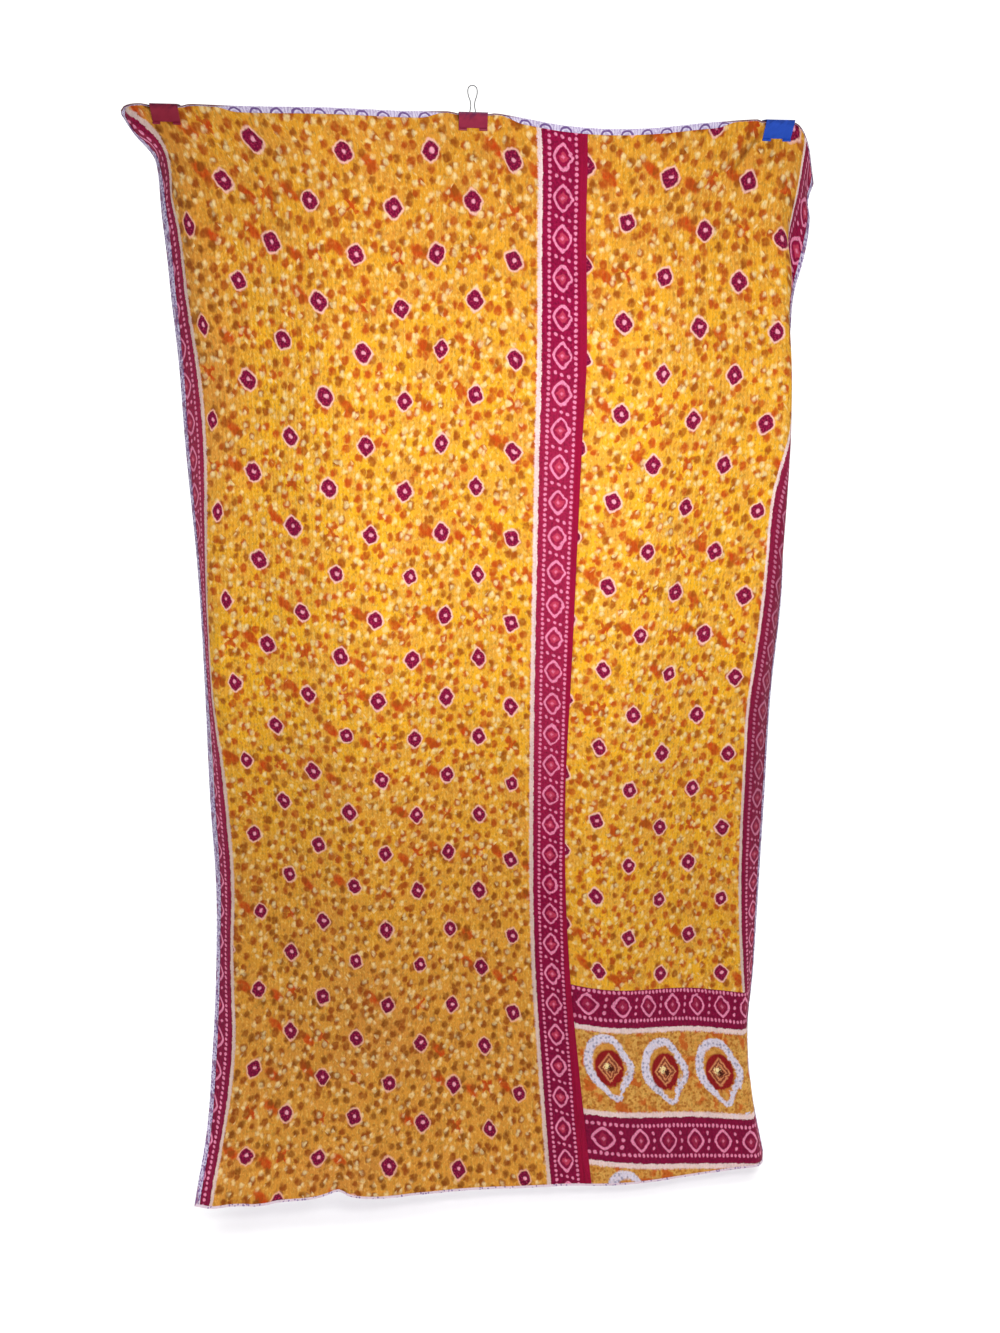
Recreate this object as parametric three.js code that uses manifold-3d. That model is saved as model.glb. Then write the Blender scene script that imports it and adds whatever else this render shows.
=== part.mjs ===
// A kantha quilt that hangs by its top edge from three binder clips.
//
// Millimetres, +Z up, +X to the right of someone who looks at the printed face, which looks
// along -Y. The origin is on the quilt's top edge, at the middle of the centre clip.
//
// A point of the cloth is named by where it was before the quilt was hung: "across" from the
// left edge, "drop" from the top edge, and "height" out of the back cloth's back face.

import * as THREE from 'three';
import { mergeVertices } from 'three/addons/utils/BufferGeometryUtils.js';
import Module from 'manifold-3d';

const wasm = await Module();
wasm.setup();

// ---------------------------------------------------------------- driving sizes

const QUILT_WIDTH = 1300;
const QUILT_LENGTH = 2130;
const BACK_THICKNESS = 1.0;
const PANEL_THICKNESS = 1.2;
const GAP = 0.3;
const GAP_BETWEEN_LAYERS = 0.4;
const ROOM_AT_EDGE = 0.6;

// How far the back cloth is turned over to the front along each edge.
const TURNED_EDGE = { top: 12, bottom: 7, left: 18, right: 10 };

// The upright border band that ends the left panel, and the strip of it that lies on the right one.
const BAND_CENTRE = 785;
const LAP_WIDTH = 12;

// Binder clips: where each grips the top edge, how wide it is and how long its plates are.
const CLIPS = [
  { name: 'left', across: 105, width: 47, plate: 33, colour: 0x7a1530, handleTurn: 140 },
  { name: 'centre', across: 627, width: 51, plate: 30, colour: 0x86183a, handleTurn: 0 },
  { name: 'right', across: 1179, width: 52, plate: 36, colour: 0x1536a0, handleTurn: 162 },
];
const STEEL_THICKNESS = 0.8;
const LIP_RADIUS = 1.6;
const LIP_WRAP = 285;
const LIP_NOTCH = 22;
const BACK_PLATE_SLANT = 8;
const FRONT_PLATE_SLANT = 35;
const PLATE_BEND = 2.2;
const EDGE_BELOW_CLIP_TOP = 5;
const WIRE_RADIUS = 0.8;

// ---------------------------------------------------------------- how the quilt hangs

// One row for each level of the hanging cloth, measured down the cloth from its top edge.
//   forward      how far the anchor line stands in front of the clips
//   shift        how far the anchor line stands to the right of the centre clip
//   leftSpread   width taken up by each millimetre of cloth left of the anchor line,
//   rightSpread  and right of it: under 1 where soft folds take some of it
//   leftFold     depth of the soft fold between the left and centre clips
//   rightFold    depth of the soft fold between the centre and right clips
//   leftStart    distance from the left edge at which the border starts to turn back
//   leftTurn     angle to which it turns, in degrees
//   rightStart   the same at the right edge
//   rightTurn
//   rightFlare   angle by which the outer part of the right border turns out again
//   yaw          angle by which the whole level faces right of -Y
const SECTIONS = table(
  'drop forward shift leftSpread rightSpread leftFold rightFold ' +
    'leftStart leftTurn rightStart rightTurn rightFlare yaw',
  [
    [0, 0, 0, 1.02, 1.0, 24, 24, 62, 80, 91, 56, 0, 0],
    [32, 0, 2, 1.0, 0.993, 28, 27, 66, 86, 91, 64, 4, 0],
    [70, 0, 4, 0.975, 0.985, 34, 30, 98, 68, 96, 58, 14, 0],
    [160, 0, 6, 0.945, 0.97, 44, 40, 102, 52, 102, 73, 52, 0],
    [230, 0, 6, 0.935, 0.98, 48, 44, 100, 51, 88, 110, 60, 0],
    [300, 0, 6, 0.93, 0.995, 50, 46, 100, 50, 97, 110, 70, 0],
    [420, 0, 4, 0.915, 1.02, 52, 50, 96, 50, 94, 116, 30, 0],
    [560, 0, 2, 0.915, 1.02, 52, 52, 96, 52, 86, 96, 0, 0],
    [800, 0, 4, 0.935, 0.99, 52, 52, 98, 64, 76, 66, 0, 0],
    [1050, 0, 6, 0.95, 0.96, 52, 52, 98, 66, 76, 54, 0, 0],
    [1300, -5, 8, 0.945, 0.95, 52, 50, 94, 56, 78, 40, 0, 0],
    [1500, 5, 9, 0.938, 0.95, 48, 48, 92, 52, 78, 42, 0, 0],
    [1700, 40, 11, 0.945, 0.955, 44, 42, 92, 46, 78, 58, 0, 0.5],
    [1850, 85, 15, 0.96, 0.965, 36, 34, 92, 42, 92, 76, 0, 1],
    [2000, 140, 20, 0.985, 0.97, 26, 24, 88, 44, 88, 76, 0, 2],
    [2130, 190, 26, 1.015, 0.975, 16, 16, 80, 34, 78, 66, 0, 3.5],
  ],
);

// How high the top edge runs: pushed a little way down in each clip, sagging between the clips
// and drooping at the corners.
const TOP_EDGE = table('across height', [
  [0, -4],
  [40, 3],
  [66, 4],
  [78, 2],
  [132, 2],
  [146, 5],
  [300, -1],
  [480, -1],
  [586, 3],
  [600, 0],
  [654, 0],
  [668, 1.5],
  [712, -5],
  [792, -19],
  [872, -25],
  [952, -21],
  [1052, -7],
  [1140, 2],
  [1152, -1],
  [1206, -1],
  [1222, -8],
  [1250, -43],
  [1300, -91],
]);

// How far the bottom edge strays up or down from a straight cut.
const BOTTOM_EDGE = table('across height', [
  [0, -16],
  [300, 0],
  [627, -10],
  [1000, -16],
  [1300, -14],
]);

// Half the width of the centre band, from its middle to the edge of its plain selvedge.
const LAP_EDGE = table('drop reach', [
  [0, 44],
  [600, 45],
  [1000, 42],
  [1250, 32],
  [1500, 34],
  [1700, 42],
  [2130, 58],
]);

const SETTLED_LEVEL = -21;
const EDGE_FADE = 1.5;
const LEFT_BEND_WIDTH = 55;
const RIGHT_BEND_WIDTH = 50;
const FLARE_START = 52;
const FLARE_WIDTH = 30;
const FLAT_AT_CLIP = 30;
const ANCHOR = CLIPS[1].across;

// Turns rows of numbers into rows with named columns.
function table(columns, rows) {
  const names = columns.split(' ');
  return rows.map((row) => Object.fromEntries(names.map((name, index) => [name, row[index]])));
}

// A smooth curve through one column of a table: cubic pieces that share their slopes.
function along(rows, key, column, at) {
  let index = rows.findIndex((row) => row[key] > at) - 1;
  if (index < 0) index = at < rows[0][key] ? 0 : rows.length - 2;
  const slope = (i) => {
    const before = rows[Math.max(i - 1, 0)];
    const after = rows[Math.min(i + 1, rows.length - 1)];
    return (after[column] - before[column]) / (after[key] - before[key]);
  };
  const from = rows[index];
  const to = rows[index + 1];
  const span = to[key] - from[key];
  const t = (at - from[key]) / span;
  return (
    (2 * t ** 3 - 3 * t ** 2 + 1) * from[column] +
    (t ** 3 - 2 * t ** 2 + t) * span * slope(index) +
    (3 * t ** 2 - 2 * t ** 3) * to[column] +
    (t ** 3 - t ** 2) * span * slope(index + 1)
  );
}

function easeIn(t) {
  const clamped = Math.min(Math.max(t, 0), 1);
  return clamped * clamped * (3 - 2 * clamped);
}

// A soft fold: nothing at the two clips beside it, and its whole depth halfway between them.
function softFold(across, from, to, depth) {
  const t = (across - from - FLAT_AT_CLIP) / (to - from - 2 * FLAT_AT_CLIP);
  return t > 0 && t < 1 ? (depth * (1 - Math.cos(2 * Math.PI * t))) / 2 : 0;
}

// The cloth's line across one level, as a list with one point for each millimetre of its width.
// Heading is the angle at which the cloth runs back from the plane of the clips. The line is
// walked out from the anchor to both edges, and then turned by the level's yaw.
const levels = new Map();
function levelLine(drop) {
  if (levels.has(drop)) return levels.get(drop);
  const level = Object.fromEntries(
    Object.keys(SECTIONS[0]).map((column) => [column, along(SECTIONS, 'drop', column, drop)]),
  );
  const radians = THREE.MathUtils.degToRad;
  const step = (across, direction, point) => {
    const left = easeIn((level.leftStart - across) / LEFT_BEND_WIDTH);
    const right = easeIn((across - QUILT_WIDTH + level.rightStart) / RIGHT_BEND_WIDTH);
    const flare = easeIn((across - QUILT_WIDTH + FLARE_START) / FLARE_WIDTH);
    const heading =
      radians(level.rightTurn) * right -
      radians(level.leftTurn) * left -
      radians(level.rightFlare) * flare;
    const slack = across < ANCHOR ? level.leftSpread : level.rightSpread;
    const spread = slack + (1 - slack) * Math.max(left, right);
    return {
      x: point.x + direction * Math.cos(heading) * spread,
      y: point.y + direction * Math.sin(heading),
    };
  };
  const line = new Array(QUILT_WIDTH + 1);
  line[ANCHOR] = { x: 0, y: 0 };
  for (let across = ANCHOR + 1; across <= QUILT_WIDTH; across += 1) {
    line[across] = step(across - 0.5, 1, line[across - 1]);
  }
  for (let across = ANCHOR - 1; across >= 0; across -= 1) {
    line[across] = step(across + 0.5, -1, line[across + 1]);
  }
  const cos = Math.cos(radians(level.yaw));
  const sin = Math.sin(radians(level.yaw));
  const placed = line.map(({ x, y }, across) => {
    const back =
      y -
      softFold(across, CLIPS[0].across, ANCHOR, level.leftFold) -
      softFold(across, ANCHOR, CLIPS[2].across, level.rightFold);
    return { x: x * cos - back * sin + level.shift, y: x * sin + back * cos - level.forward };
  });
  levels.set(drop, placed);
  return placed;
}

// How far down the cloth has come at each millimetre of its length, less where it runs forward.
const fallen = [0];
for (let drop = 1; drop <= QUILT_LENGTH; drop += 1) {
  const run = along(SECTIONS, 'drop', 'forward', drop) - along(SECTIONS, 'drop', 'forward', drop - 1);
  fallen.push(fallen[drop - 1] + Math.sqrt(1 - run * run));
}

function between(list, at, pick = (value) => value) {
  const index = Math.min(Math.max(Math.floor(at), 0), list.length - 2);
  return THREE.MathUtils.lerp(pick(list[index]), pick(list[index + 1]), at - index);
}

// The back face of the back cloth as a surface: where the point (across, drop) hangs. The top
// edge's rise and fall dies out on the way down, and the bottom edge's comes in.
function hangingPoint(across, drop) {
  const line = levelLine(drop);
  const fromTop = (along(TOP_EDGE, 'across', 'height', across) - SETTLED_LEVEL) *
    (1 - drop / QUILT_LENGTH) ** EDGE_FADE;
  const fromBottom = along(BOTTOM_EDGE, 'across', 'height', across) *
    (drop / QUILT_LENGTH) ** EDGE_FADE;
  return new THREE.Vector3(
    between(line, across, (point) => point.x),
    between(line, across, (point) => point.y),
    SETTLED_LEVEL + fromTop + fromBottom - between(fallen, drop),
  );
}

// A point at a height off that surface, along the surface's own normal.
function clothPoint(across, drop, height) {
  const reach = 0.5;
  const row = THREE.MathUtils.clamp(drop, reach, QUILT_LENGTH - reach);
  const column = THREE.MathUtils.clamp(across, reach, QUILT_WIDTH - reach);
  const down = hangingPoint(column, row + reach).sub(hangingPoint(column, row - reach));
  const right = hangingPoint(column + reach, row).sub(hangingPoint(column - reach, row));
  const normal = down.cross(right).normalize();
  return hangingPoint(across, drop).addScaledVector(normal, height);
}

// ---------------------------------------------------------------- the three cloths

// Heights of the layers' faces above the back cloth's back face.
const BACK_FACE = BACK_THICKNESS;
const PANEL_BACK = BACK_FACE + GAP_BETWEEN_LAYERS;
const PANEL_FACE = PANEL_BACK + PANEL_THICKNESS;
const TURNED_BACK = PANEL_FACE + GAP_BETWEEN_LAYERS;
const TURNED_FACE = TURNED_BACK + BACK_THICKNESS;
const LAPPED_FACE = TURNED_BACK + PANEL_THICKNESS;

// How far the panels' edges are from the quilt's.
const INSET = BACK_THICKNESS + ROOM_AT_EDGE;

// Where the left panel's selvedge ends on the right panel, and where it starts to lie on it.
const lapEnd = (drop) => BAND_CENTRE + along(LAP_EDGE, 'drop', 'reach', drop);
const lapStart = (drop) => lapEnd(drop) - LAP_WIDTH;
const lapStep = (drop) => lapStart(drop) - PANEL_THICKNESS;
const rightPanelStart = (drop) => lapStart(drop) + GAP;

// Lines across the cloth, shared by all three so that their facets stay the same distance apart.
// They lie closer together where the borders turn back.
const LEFT_BORDER_LINES = [TURNED_EDGE.left, 34, 48, 61, 75, 90, 105];
const RIGHT_BORDER_LINES = [1218, 1231, 1244, 1257, 1272, QUILT_WIDTH - TURNED_EDGE.right];
const [LEFT_FLAT_ENDS, ANCHOR_FLAT_ENDS, RIGHT_FLAT_ENDS] = CLIPS.map(({ across }) => [
  across - FLAT_AT_CLIP,
  across + FLAT_AT_CLIP,
]);
const MIDDLE_LINES = [
  LEFT_FLAT_ENDS[1],
  ...spaced(LEFT_FLAT_ENDS[1], ANCHOR_FLAT_ENDS[0], 6),
  ANCHOR_FLAT_ENDS[1],
  ...spaced(ANCHOR_FLAT_ENDS[1], BAND_CENTRE, 3),
];
const RIGHT_PANEL_LINES = [
  ...spaced(0, 1, 5).map((share) => (drop) => {
    return THREE.MathUtils.lerp(lapEnd(drop), RIGHT_FLAT_ENDS[0], share);
  }),
  RIGHT_FLAT_ENDS[1],
];
const SHARED_DROPS = [
  30, 60, 100, 150, 215, 290, 370, 460, 570, 700, 860, 1030, 1200, 1370, 1520, 1650, 1760, 1860,
  1950, 2035,
];

// Steps of equal size after the first value, up to and including the last.
function spaced(first, last, count) {
  return Array.from({ length: count }, (_, i) => first + ((last - first) * (i + 1)) / count);
}

// One closed body out of a grid of cells. Every cell lies between two lines across, two drops
// and two heights, and is there or not there. A face is put wherever a cell that is there
// meets one that is not, and its corners are laid onto the hanging cloth.
function clothBody({ lines, drops, heights, isThere }) {
  const size = [lines.length - 1, drops.length - 1, heights.length - 1];
  const acrossAt = (i, j) => (typeof lines[i] === 'function' ? lines[i](drops[j]) : lines[i]);
  const there = (cell) =>
    cell.every((value, axis) => value >= 0 && value < size[axis]) &&
    isThere({
      across: (acrossAt(cell[0], cell[1]) + acrossAt(cell[0] + 1, cell[1])) / 2,
      drop: (drops[cell[1]] + drops[cell[1] + 1]) / 2,
      height: (heights[cell[2]] + heights[cell[2] + 1]) / 2,
      at: drops[cell[1]],
    });
  const positions = [];
  const indices = [];
  const numbers = new Map();
  const corner = (i, j, k) => {
    const key = `${i} ${j} ${k}`;
    if (!numbers.has(key)) {
      numbers.set(key, numbers.size);
      positions.push(...clothPoint(acrossAt(i, j), drops[j], heights[k]).toArray());
    }
    return numbers.get(key);
  };
  const addFace = (cell, axis, side) => {
    const [next, other] = [(axis + 1) % 3, (axis + 2) % 3];
    const corners = [[0, 0], [1, 0], [1, 1], [0, 1]].map(([a, b]) => {
      const place = [...cell];
      place[axis] += side > 0 ? 1 : 0;
      place[next] += a;
      place[other] += b;
      return corner(...place);
    });
    const [a, b, c, d] = corners;
    indices.push(...(side > 0 ? [a, c, b, a, d, c] : [a, b, c, a, c, d]));
  };
  for (let i = 0; i < size[0]; i += 1) {
    for (let j = 0; j < size[1]; j += 1) {
      for (let k = 0; k < size[2]; k += 1) {
        if (!there([i, j, k])) continue;
        for (let axis = 0; axis < 3; axis += 1) {
          for (const side of [-1, 1]) {
            const neighbour = [i, j, k];
            neighbour[axis] += side;
            if (!there(neighbour)) addFace([i, j, k], axis, side);
          }
        }
      }
    }
  }
  const geometry = new THREE.BufferGeometry();
  geometry.setAttribute('position', new THREE.Float32BufferAttribute(positions, 3));
  geometry.setIndex(indices);
  geometry.computeVertexNormals();
  return geometry;
}

// The back cloth runs from edge to edge. At each edge it comes up to the front in a wall, and
// lies over the panels' edges in a strip of its own thickness.
const backCloth = clothBody({
  lines: [
    0,
    BACK_THICKNESS,
    INSET,
    ...LEFT_BORDER_LINES,
    ...MIDDLE_LINES,
    lapStart,
    lapEnd,
    ...RIGHT_PANEL_LINES,
    ...RIGHT_BORDER_LINES,
    QUILT_WIDTH - INSET,
    QUILT_WIDTH - BACK_THICKNESS,
    QUILT_WIDTH,
  ],
  drops: [
    0,
    BACK_THICKNESS,
    INSET,
    TURNED_EDGE.top,
    ...SHARED_DROPS,
    QUILT_LENGTH - TURNED_EDGE.bottom,
    QUILT_LENGTH - INSET,
    QUILT_LENGTH - BACK_THICKNESS,
    QUILT_LENGTH,
  ],
  heights: [0, BACK_FACE, TURNED_BACK, TURNED_FACE],
  isThere: ({ across, drop, height }) => {
    const fromEdge = Math.min(across, QUILT_WIDTH - across, drop, QUILT_LENGTH - drop);
    const isTurned =
      across < TURNED_EDGE.left ||
      across > QUILT_WIDTH - TURNED_EDGE.right ||
      drop < TURNED_EDGE.top ||
      drop > QUILT_LENGTH - TURNED_EDGE.bottom;
    return height < BACK_FACE || fromEdge < BACK_THICKNESS || (height > TURNED_BACK && isTurned);
  },
});

// The left panel lies on the back cloth, steps up over the right panel's raw edge and ends as a
// loose strip on it. That strip stops just short of the turned top and bottom edges.
const LAP_TOP = TURNED_EDGE.top + GAP;
const LAP_BOTTOM = QUILT_LENGTH - TURNED_EDGE.bottom - GAP;
const leftPanel = clothBody({
  lines: [
    INSET,
    ...LEFT_BORDER_LINES,
    ...MIDDLE_LINES,
    lapStep,
    lapStart,
    lapEnd,
  ],
  drops: [
    INSET,
    LAP_TOP,
    ...SHARED_DROPS,
    LAP_BOTTOM,
    QUILT_LENGTH - INSET,
  ],
  heights: [PANEL_BACK, PANEL_FACE, TURNED_BACK, LAPPED_FACE],
  isThere: ({ across, drop, height, at }) => {
    const isLapped = drop > LAP_TOP && drop < LAP_BOTTOM;
    if (across > lapStart(at)) return isLapped && height > TURNED_BACK;
    if (across > lapStep(at)) return height < PANEL_FACE || isLapped;
    return height < PANEL_FACE;
  },
});

// The right panel lies flat on the back cloth, and its left edge is under the left panel's.
const rightPanel = clothBody({
  lines: [
    rightPanelStart,
    lapEnd,
    ...RIGHT_PANEL_LINES,
    ...RIGHT_BORDER_LINES,
    QUILT_WIDTH - INSET,
  ],
  drops: [
    INSET,
    TURNED_EDGE.top,
    ...SHARED_DROPS,
    QUILT_LENGTH - TURNED_EDGE.bottom,
    QUILT_LENGTH - INSET,
  ],
  heights: [PANEL_BACK, PANEL_FACE],
  isThere: () => true,
});

// ---------------------------------------------------------------- binder clips

const EXTRUDE_ALONG_X = new THREE.Matrix4().makeBasis(
  new THREE.Vector3(0, -1, 0),
  new THREE.Vector3(0, 0, 1),
  new THREE.Vector3(-1, 0, 0),
);

// Points of an arc in the (forward, up) plane, both ends included.
function arc(centre, radius, fromDegrees, toDegrees, count) {
  return [0, ...spaced(0, 1, count)].map((share) => {
    const angle = THREE.MathUtils.degToRad(fromDegrees + (toDegrees - fromDegrees) * share);
    return new THREE.Vector2(radius * Math.cos(angle), radius * Math.sin(angle)).add(centre);
  });
}

// A corner with its point taken off: a bend of a given setback between two straight runs.
function bend(before, corner, after, setback) {
  const start = corner.clone().addScaledVector(before.clone().sub(corner).normalize(), setback);
  const end = corner.clone().addScaledVector(after.clone().sub(corner).normalize(), setback);
  return new THREE.QuadraticBezierCurve(start, corner, end).getPoints(4);
}

// The outline of bent sheet steel: its middle line moved half the thickness to either side.
function sheetOutline(line, thickness) {
  const offset = (side) =>
    line.map((point, index) => {
      const before = line[Math.max(index - 1, 0)];
      const after = line[Math.min(index + 1, line.length - 1)];
      const into = point.clone().sub(before).normalize();
      const out = after.clone().sub(point).normalize();
      const along = into.clone().add(out).normalize();
      const half = index > 0 && index < line.length - 1 ? along.dot(into) : 1;
      const across = new THREE.Vector2(-along.y, along.x);
      return point.clone().addScaledVector(across, (side * thickness) / 2 / half);
    });
  return new THREE.Shape([...offset(1), ...offset(-1).reverse()]);
}

function toManifold(geometry) {
  const plain = geometry.clone();
  plain.deleteAttribute('normal');
  plain.deleteAttribute('uv');
  const welded = mergeVertices(plain, 1e-4);
  return new wasm.Manifold(
    new wasm.Mesh({
      numProp: 3,
      vertProperties: new Float32Array(welded.attributes.position.array),
      triVerts: new Uint32Array(welded.index.array),
    }),
  );
}

function toGeometry(manifold) {
  const { vertProperties, triVerts } = manifold.getMesh();
  const geometry = new THREE.BufferGeometry();
  geometry.setAttribute('position', new THREE.Float32BufferAttribute(vertProperties, 3));
  geometry.setIndex(Array.from(triVerts));
  geometry.computeVertexNormals();
  return geometry;
}

// The lips grip the cloths' two layers, and each lip is a tube about this centre.
const GRIPPED = PANEL_FACE;
const TUBE_OUTSIDE = LIP_RADIUS + STEEL_THICKNESS / 2;
const BACK_TUBE = new THREE.Vector2(-GAP - TUBE_OUTSIDE, 0);
const FRONT_TUBE = new THREE.Vector2(GRIPPED + GAP + TUBE_OUTSIDE, 0);

// One bent sheet: back lip, back plate, top, front plate and front lip. The plates slant apart
// from the lips upward, the back one less than the front one. The middle part of both lips is
// cut away for the wire handle.
function clipBody({ width, plate }) {
  const plateLine = (tube, slantDegrees) => {
    const slant = THREE.MathUtils.degToRad(slantDegrees);
    const up = new THREE.Vector2(Math.sin(slant), Math.cos(slant));
    const start = new THREE.Vector2(up.y, -up.x);
    start.multiplyScalar(tube === BACK_TUBE ? LIP_RADIUS : -LIP_RADIUS).add(tube);
    return [start, start.clone().addScaledVector(up, plate - LIP_RADIUS)];
  };
  const [backStart, backTop] = plateLine(BACK_TUBE, -BACK_PLATE_SLANT);
  const [frontStart, frontTop] = plateLine(FRONT_TUBE, FRONT_PLATE_SLANT);
  const backAngle = BACK_PLATE_SLANT;
  const frontAngle = 180 - FRONT_PLATE_SLANT;
  const line = [
    ...arc(BACK_TUBE, LIP_RADIUS, backAngle - LIP_WRAP, backAngle, 14),
    ...bend(backStart, backTop, frontTop, PLATE_BEND),
    ...bend(backTop, frontTop, frontStart, PLATE_BEND),
    ...arc(FRONT_TUBE, LIP_RADIUS, frontAngle, frontAngle + LIP_WRAP, 14),
  ];
  const strip = new THREE.ExtrudeGeometry(sheetOutline(line, STEEL_THICKNESS), {
    depth: width,
    bevelEnabled: false,
  });
  strip.translate(0, 0, -width / 2);
  strip.applyMatrix4(EXTRUDE_ALONG_X);
  const notch = new THREE.BoxGeometry(
    LIP_NOTCH,
    FRONT_TUBE.x - BACK_TUBE.x + 4 * TUBE_OUTSIDE,
    2.4 * TUBE_OUTSIDE,
  );
  notch.translate(0, -(FRONT_TUBE.x + BACK_TUBE.x) / 2, 0);
  return toGeometry(toManifold(strip).subtract(toManifold(notch)));
}

// ---------------------------------------------------------------- wire handles

// Right half of a handle, from the end inside the lip's tube to the top of its round loop.
const HANDLE_HALF = table('x up', [
  [20, 0],
  [15, 0],
  [10.9, 0],
  [9.6, 0.8],
  [9.0, 3],
  [7.4, 15],
  [5.2, 31],
  [3.4, 41],
  [4.2, 49],
  [7.4, 58],
  [8.4, 65],
  [7.2, 71.5],
  [3.8, 74.6],
  [0, 75.4],
]);

// The handle lies along the back plate, then turns about the tube's middle line.
function handleBody(turn) {
  const half = HANDLE_HALF.map(({ x, up }) => new THREE.Vector3(x, 0, up));
  const mirrored = half.slice(0, -1).map(({ x, z }) => new THREE.Vector3(-x, 0, z));
  const path = new THREE.CatmullRomCurve3([...half, ...mirrored.reverse()], false, 'centripetal');
  const section = new THREE.Shape();
  section.absarc(0, 0, WIRE_RADIUS, 0, 2 * Math.PI, false);
  const wire = new THREE.ExtrudeGeometry(section, {
    steps: 60,
    curveSegments: 5,
    extrudePath: path,
  });
  wire.rotateX(-THREE.MathUtils.degToRad(BACK_PLATE_SLANT + turn));
  wire.translate(0, -BACK_TUBE.x, 0);
  return wire;
}

// ---------------------------------------------------------------- the object

function part(name, geometry, colour, roughness, metalness) {
  const material = new THREE.MeshStandardMaterial({ color: colour, roughness, metalness });
  const mesh = new THREE.Mesh(geometry, material);
  mesh.name = name;
  return mesh;
}

const group = new THREE.Group();
group.name = 'kantha_quilt';
group.add(part('back_cloth', backCloth, 0xd8ccd6, 0.95, 0));
group.add(part('left_panel', leftPanel, 0xd9983a, 0.95, 0));
group.add(part('right_panel', rightPanel, 0xd08f3c, 0.95, 0));

for (const clip of CLIPS) {
  const edge = hangingPoint(clip.across, 0);
  const lipsBelowEdge = clip.plate - EDGE_BELOW_CLIP_TOP;
  const holder = new THREE.Group();
  holder.position.set(edge.x, 0, edge.z - lipsBelowEdge);
  holder.add(part(`clip_${clip.name}`, clipBody(clip), clip.colour, 0.35, 0.3));
  holder.add(part(`handle_${clip.name}`, handleBody(clip.handleTurn), 0xb8b8bc, 0.25, 1));
  group.add(holder);
}

export default group;
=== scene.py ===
import math
from functools import partialmethod

import bpy
import numpy as np
from mathutils import Matrix, Vector


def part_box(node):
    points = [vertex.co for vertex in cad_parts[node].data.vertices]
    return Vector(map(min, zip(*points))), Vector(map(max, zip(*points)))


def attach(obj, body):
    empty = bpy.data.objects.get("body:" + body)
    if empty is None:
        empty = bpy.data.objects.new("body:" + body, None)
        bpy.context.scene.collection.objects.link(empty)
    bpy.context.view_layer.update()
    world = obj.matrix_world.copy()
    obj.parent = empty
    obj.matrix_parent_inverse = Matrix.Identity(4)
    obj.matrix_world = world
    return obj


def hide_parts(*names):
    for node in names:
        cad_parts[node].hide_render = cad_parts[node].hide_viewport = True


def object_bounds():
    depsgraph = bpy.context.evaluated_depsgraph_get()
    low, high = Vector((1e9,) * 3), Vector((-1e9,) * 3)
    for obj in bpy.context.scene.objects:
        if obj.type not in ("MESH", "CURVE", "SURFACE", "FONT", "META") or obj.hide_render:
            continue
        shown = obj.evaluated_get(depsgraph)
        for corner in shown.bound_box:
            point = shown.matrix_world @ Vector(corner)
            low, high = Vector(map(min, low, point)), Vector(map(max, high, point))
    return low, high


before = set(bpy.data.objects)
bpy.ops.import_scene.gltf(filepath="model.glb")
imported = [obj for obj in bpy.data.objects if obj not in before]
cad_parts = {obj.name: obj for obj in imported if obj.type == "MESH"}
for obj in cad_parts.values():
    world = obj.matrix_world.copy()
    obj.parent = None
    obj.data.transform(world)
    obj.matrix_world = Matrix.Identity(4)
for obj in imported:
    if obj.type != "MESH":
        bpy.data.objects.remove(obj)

cad_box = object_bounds()


# ---------------------------- camera
# It stands in front of the quilt, a little to the left of its middle and at about a quarter of
# its height from the top, and looks slightly down and to the right.

EYE = Vector((-0.100, -1.970, -0.469))
TURN_RIGHT = math.radians(4.4)
TILT_DOWN = math.radians(15.5)
LEAN = math.radians(0.2)
SENSOR = 36
LENS = 27.034

level_ahead = Vector((math.sin(TURN_RIGHT), math.cos(TURN_RIGHT), 0))
level_right = Vector((math.cos(TURN_RIGHT), -math.sin(TURN_RIGHT), 0))
straight_up = Vector((0, 0, 1))
ahead = level_ahead * math.cos(TILT_DOWN) - straight_up * math.sin(TILT_DOWN)
overhead = straight_up * math.cos(TILT_DOWN) + level_ahead * math.sin(TILT_DOWN)
rightward = level_right * math.cos(LEAN) + overhead * math.sin(LEAN)
upward = overhead * math.cos(LEAN) - level_right * math.sin(LEAN)


def put_in_scene(name, data):
    """A new object with the given data, in the scene."""
    thing = bpy.data.objects.new(name, data)
    bpy.context.scene.collection.objects.link(thing)
    return thing


camera_data = bpy.data.cameras.new("camera")
camera_data.sensor_width = SENSOR
camera_data.lens = LENS
camera = put_in_scene("camera", camera_data)
facing = Matrix((rightward, upward, -ahead)).transposed()
camera.matrix_world = Matrix.Translation(EYE) @ facing.to_4x4()
bpy.context.scene.camera = camera


# ---------------------------- back cloth
# The quilt's plain back: soft off-white cotton with lavender scallops printed along its edges.
# It is turned over to the front all round, where it binds the two panels' edges, and every
# layer is held together by rows of running stitches.

MM = 0.001
QUILT_WIDTH = 1300
QUILT_LENGTH = 2130
BACK_THICKNESS = 1
PANEL_THICKNESS = 1.2
GAP_BETWEEN_LAYERS = 0.4
TURNED_TOP = 10
TURNED_BOTTOM = 4.5
INSET = 1.6

PANEL_BACK = BACK_THICKNESS + GAP_BETWEEN_LAYERS
PANEL_FACE = PANEL_BACK + PANEL_THICKNESS
TURNED_BACK = PANEL_FACE + GAP_BETWEEN_LAYERS
TURNED_FACE = TURNED_BACK + BACK_THICKNESS
LAPPED_FACE = TURNED_BACK + PANEL_THICKNESS

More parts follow.
